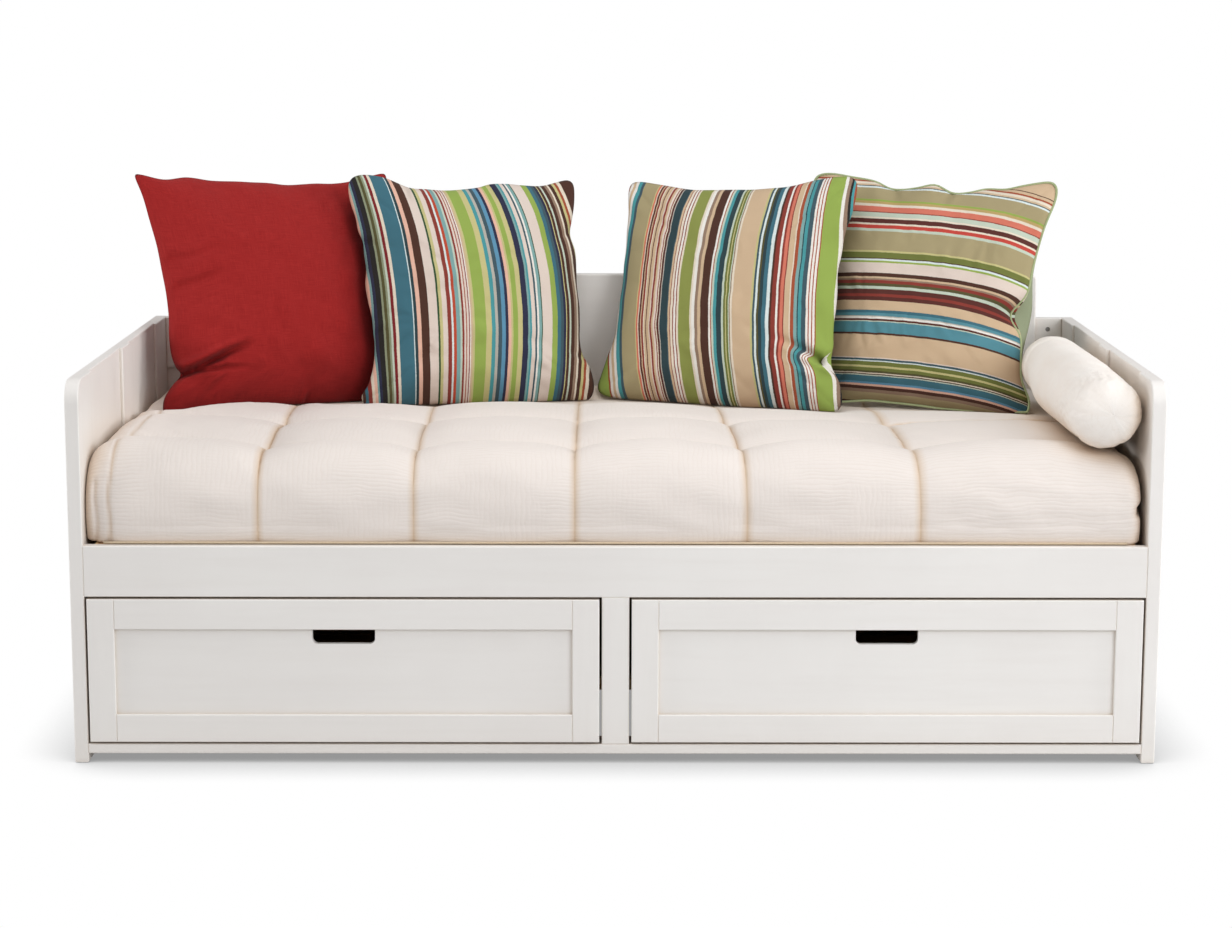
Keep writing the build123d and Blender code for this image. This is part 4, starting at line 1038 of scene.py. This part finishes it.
# Nodes that wear each material, with a star for both hands
WEAR = {
    "paint_x": "front_rail bottom_rail back_top_rail back_middle_rail back_bottom_rail back_upper_panel "
               "back_lower_panel raised_back *_drawer_top_rail *_drawer_bottom_rail *_drawer_panel",
    "paint_y": "*_arm_lower_rail",
    "paint_z": "centre_stile *_arm_front_stile *_arm_middle_stile *_arm_rear_stile *_arm_front_panel "
               "*_arm_rear_panel *_drawer_inner_stile *_drawer_outer_stile",
    "pine_x": "front_ledger rear_ledger slat_beam",
    "pine_y": "slats centre_partition *_outer_runner *_inner_runner",
    "birch_x": "*_drawer_back *_drawer_base",
    "birch_y": "*_drawer_inner_side *_drawer_outer_side *_drawer_stops",
    "steel": "frame_bolts barrel_nuts",
    "plastic": "floor_glides",
}
for material, names in WEAR.items():
    for name in names.replace("*", "left").split() + names.replace("*", "right").split():
        mesh = NODES[name].data
        mesh.materials.clear()
        mesh.materials.append(MAT[material])

mattress()
pillow("red_pillow",
       ((-1.011, 1.015), (0.962, 0.967), (0.97, -1.0), (-0.982, -0.985)),
       (((-0.854, 0.037), (-0.757, 0.11), (-0.69, 0.175), (-0.61, 0.148), (-0.41, 0.127),
         (-0.166, 0.145), (0.08, 0.147), (0.327, 0.127), (0.617, 0.085), (0.845, 0.05)),
        ((-0.92, 0.022), (-0.775, 0.064), (-0.585, 0.043), (-0.4, 0.072), (-0.132, 0.089),
         (0.017, 0.097), (0.178, 0.117), (0.3, 0.113), (0.42, 0.105), (0.56, 0.105), (0.64, 0.1),
         (0.8, 0.06), (0.93, 0.02)),
        ((0, 0.11),), ((0, 0.01),)),
       MAT["red"], 31, (0.546, 0.490), 0.148, round_by=40,
       folds=((-1.0, -0.69, -0.34, -0.45, 0.026, 0.026), (-0.86, -0.66, -0.44, -0.66, 0.010, 0.018),
              (0.10, -1.0, 0.14, -0.88, 0.007, 0.016), (-0.9, 0.28, -0.42, 0.36, 0.005, 0.035),
              (-0.9, 0.05, -0.5, 0.16, 0.005, 0.03)))
pillow("left_striped_pillow",
       ((-1.0, 1.015), (0.95, 0.967), (1.01, -1.0), (-0.97, -1.0)),
       (((-0.876, 0.025), (-0.808, 0.08), (-0.717, 0.122), (-0.582, 0.157), (-0.446, 0.17),
         (-0.333, 0.162), (-0.243, 0.158), (-0.085, 0.132), (0.05, 0.12), (0.186, 0.135), (0.3, 0.124),
         (0.412, 0.118), (0.503, 0.085), (0.616, 0.07), (0.729, 0.04), (0.88, 0.01)),
        ((-0.8, 0.01), (-0.654, 0.037), (-0.564, 0.075), (-0.475, 0.115), (-0.296, 0.132),
         (-0.184, 0.14), (0, 0.132), (0.151, 0.109), (0.218, 0.086), (0.374, 0.076), (0.508, 0.089),
         (0.687, 0.09), (0.821, 0.05), (0.911, 0.017)),
        ((-0.785, 0.008), (-0.672, 0.035), (-0.582, 0.08), (-0.446, 0.10), (-0.311, 0.087),
         (-0.175, 0.078), (0.006, 0.085), (0.164, 0.077), (0.345, 0.08), (0.503, 0.105), (0.616, 0.08),
         (0.751, 0.05), (0.864, 0.03)),
        ((0, 0.01),)),
       MAT["left"], 41,
       folds=((0.22, 1.0, 0.30, 0.78, 0.006, 0.035), (-0.50, 1.0, -0.46, 0.82, 0.005, 0.03),
              (0.98, 0.50, 0.86, 0.44, 0.006, 0.03), (-0.98, -0.36, -0.84, -0.33, 0.006, 0.03),
              (-0.98, 0.40, -0.86, 0.36, 0.005, 0.03), (0.98, -0.60, 0.84, -0.52, 0.007, 0.03)),
       stripes=(True, -1.044, 1.057, (-0.06, -0.108, -0.035, 0.006, -0.055)))
pillow("right_striped_pillow",
       ((-1.02, 0.97), (1.015, 1.053), (1.07, -1.0), (-1.12, -0.95)),
       (((-0.9, 0.02), (-0.811, 0.045), (-0.667, 0.08), (-0.54, 0.107), (-0.44, 0.125), (-0.32, 0.12),
         (-0.21, 0.118), (-0.054, 0.125), (0.24, 0.107), (0.47, 0.09), (0.7, 0.075), (0.9, 0.03)),
        ((-0.9, 0.03), (-0.79, 0.056), (-0.59, 0.095), (-0.37, 0.13), (-0.21, 0.132), (0, 0.131),
         (0.23, 0.128), (0.45, 0.104), (0.67, 0.045), (0.85, 0.02)),
        ((-0.9, 0.02), (-0.72, 0.075), (-0.57, 0.12), (-0.4, 0.15), (-0.26, 0.152), (-0.125, 0.14),
         (0.01, 0.14), (0.17, 0.148), (0.284, 0.135), (0.466, 0.112), (0.65, 0.06), (0.85, 0.02)),
        ((0, 0.01),)),
       MAT["right"], 51,
       folds=((1.0, -0.57, 0.50, -0.38, 0.017, 0.032), (1.0, -0.57, 0.70, -0.46, 0.007, 0.02),
              (1.0, -0.57, 0.64, -0.66, 0.006, 0.03)),
       notches=(((1.0, -0.57), (-1.0, 0.0), 0.12, 0.075, 0.2),),
       stripes=(True, -1.153, 1.082, (-0.021, 0.069, -0.008, -0.015, -0.024)))
pillow("rear_striped_pillow",
       ((-1.11, 1.058), (0.994, 1.039), (0.89, -1.01), (-0.85, -0.96)),
       (((0, 0.06),),
        ((-0.9, 0.01), (-0.71, 0.04), (-0.453, 0.09), (-0.35, 0.142), (-0.244, 0.147), (-0.138, 0.13),
         (0.007, 0.10), (0.152, 0.168), (0.277, 0.155), (0.403, 0.122), (0.573, 0.115), (0.7, 0.082),
         (0.824, 0.045), (0.908, 0.02)),
        ((-0.858, 0.03), (-0.67, 0.122), (-0.523, 0.14), (-0.304, 0.145), (-0.085, 0.134),
         (0.214, 0.135), (0.515, 0.101), (0.8, 0.035)),
        ((-0.7, 0.05), (0, 0.05), (0.65, 0.01))),
       MAT["rear"], 61,
       folds=((0.15, 1.0, 0.10, 0.84, 0.006, 0.03), (-0.30, 1.0, -0.28, 0.86, 0.005, 0.03),
              (1.0, -0.14, 0.72, -0.10, 0.006, 0.03)),
       notches=(((1.0, -0.15), (-1.0, 0.0), 0.13, 0.13, 0.3),
                ((1.0, 0.0), (-1.0, 0.0), 0.03, 0.8, 0.25)),
       stripes=(False, 1.082, -1.08, (-0.07, -0.065, -0.048, 0.014, 0.002)), piping=MAT["sage_cord"],
       lip=0.9)
bolster()

# Thin piping along the foot of the mattress
foot = [(x, PAD_Y0 + 0.0095, DECK + 0.0034) for x in np.linspace(-0.93, 0.93, 120)]
edge_cord = tube("mattress_piping", foot, 0.0020, MAT["tan_cord"], closed=False, sides=8)
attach(edge_cord, "bed")

# Floor, light and camera: each lamp has a place, an aim, a size, watts and a colour
size = 30.0
floor = mesh_object("floor", [(-size, -size, 0), (size, -size, 0), (size, size, 0), (-size, size, 0)],
                    [(0, 1, 2, 3)], backdrop(), smooth=False)

world = bpy.data.worlds.new("studio")
scene.world = world
world.use_nodes = True
tree = world.node_tree
tree.nodes.clear()
chooser = tree.nodes.new("ShaderNodeMixShader")
tree.links.new(tree.nodes.new("ShaderNodeLightPath").outputs["Is Camera Ray"], chooser.inputs[0])
tree.links.new(chooser.outputs[0], tree.nodes.new("ShaderNodeOutputWorld").inputs[0])
# The first lights the scene, and the second is the white that the camera sees
for k, (colour, strength) in enumerate((((1.0, 0.97, 0.945, 1.0), 0.475), ((1.0, 1.0, 1.0, 1.0), 1.0))):
    sky = tree.nodes.new("ShaderNodeBackground")
    sky.inputs[0].default_value = colour
    sky.inputs[1].default_value = strength
    tree.links.new(sky.outputs[0], chooser.inputs[k + 1])

add_area("key", (3.0, -3.8, 2.4), (0.4, 0, 0.5), (2.0, 1.7), 74.0, (0.985, 0.99, 1.0))
add_area("overhead", (0.1, -1.0, 4.0), (0, 0, 0.4), (3.2, 2.4), 38.0, (1.0, 0.99, 0.985))
add_area("right_side", (4.6, -0.9, 1.6), (-0.9, 0, 0.6), (1.6, 1.2), 60.0, (1.0, 0.97, 0.95))
add_area("left_side", (-4.6, -0.9, 1.6), (0.9, 0, 0.6), (1.6, 1.2), 60.0, (1.0, 0.98, 0.96))
add_camera()
scene.view_settings.view_transform = "Standard"
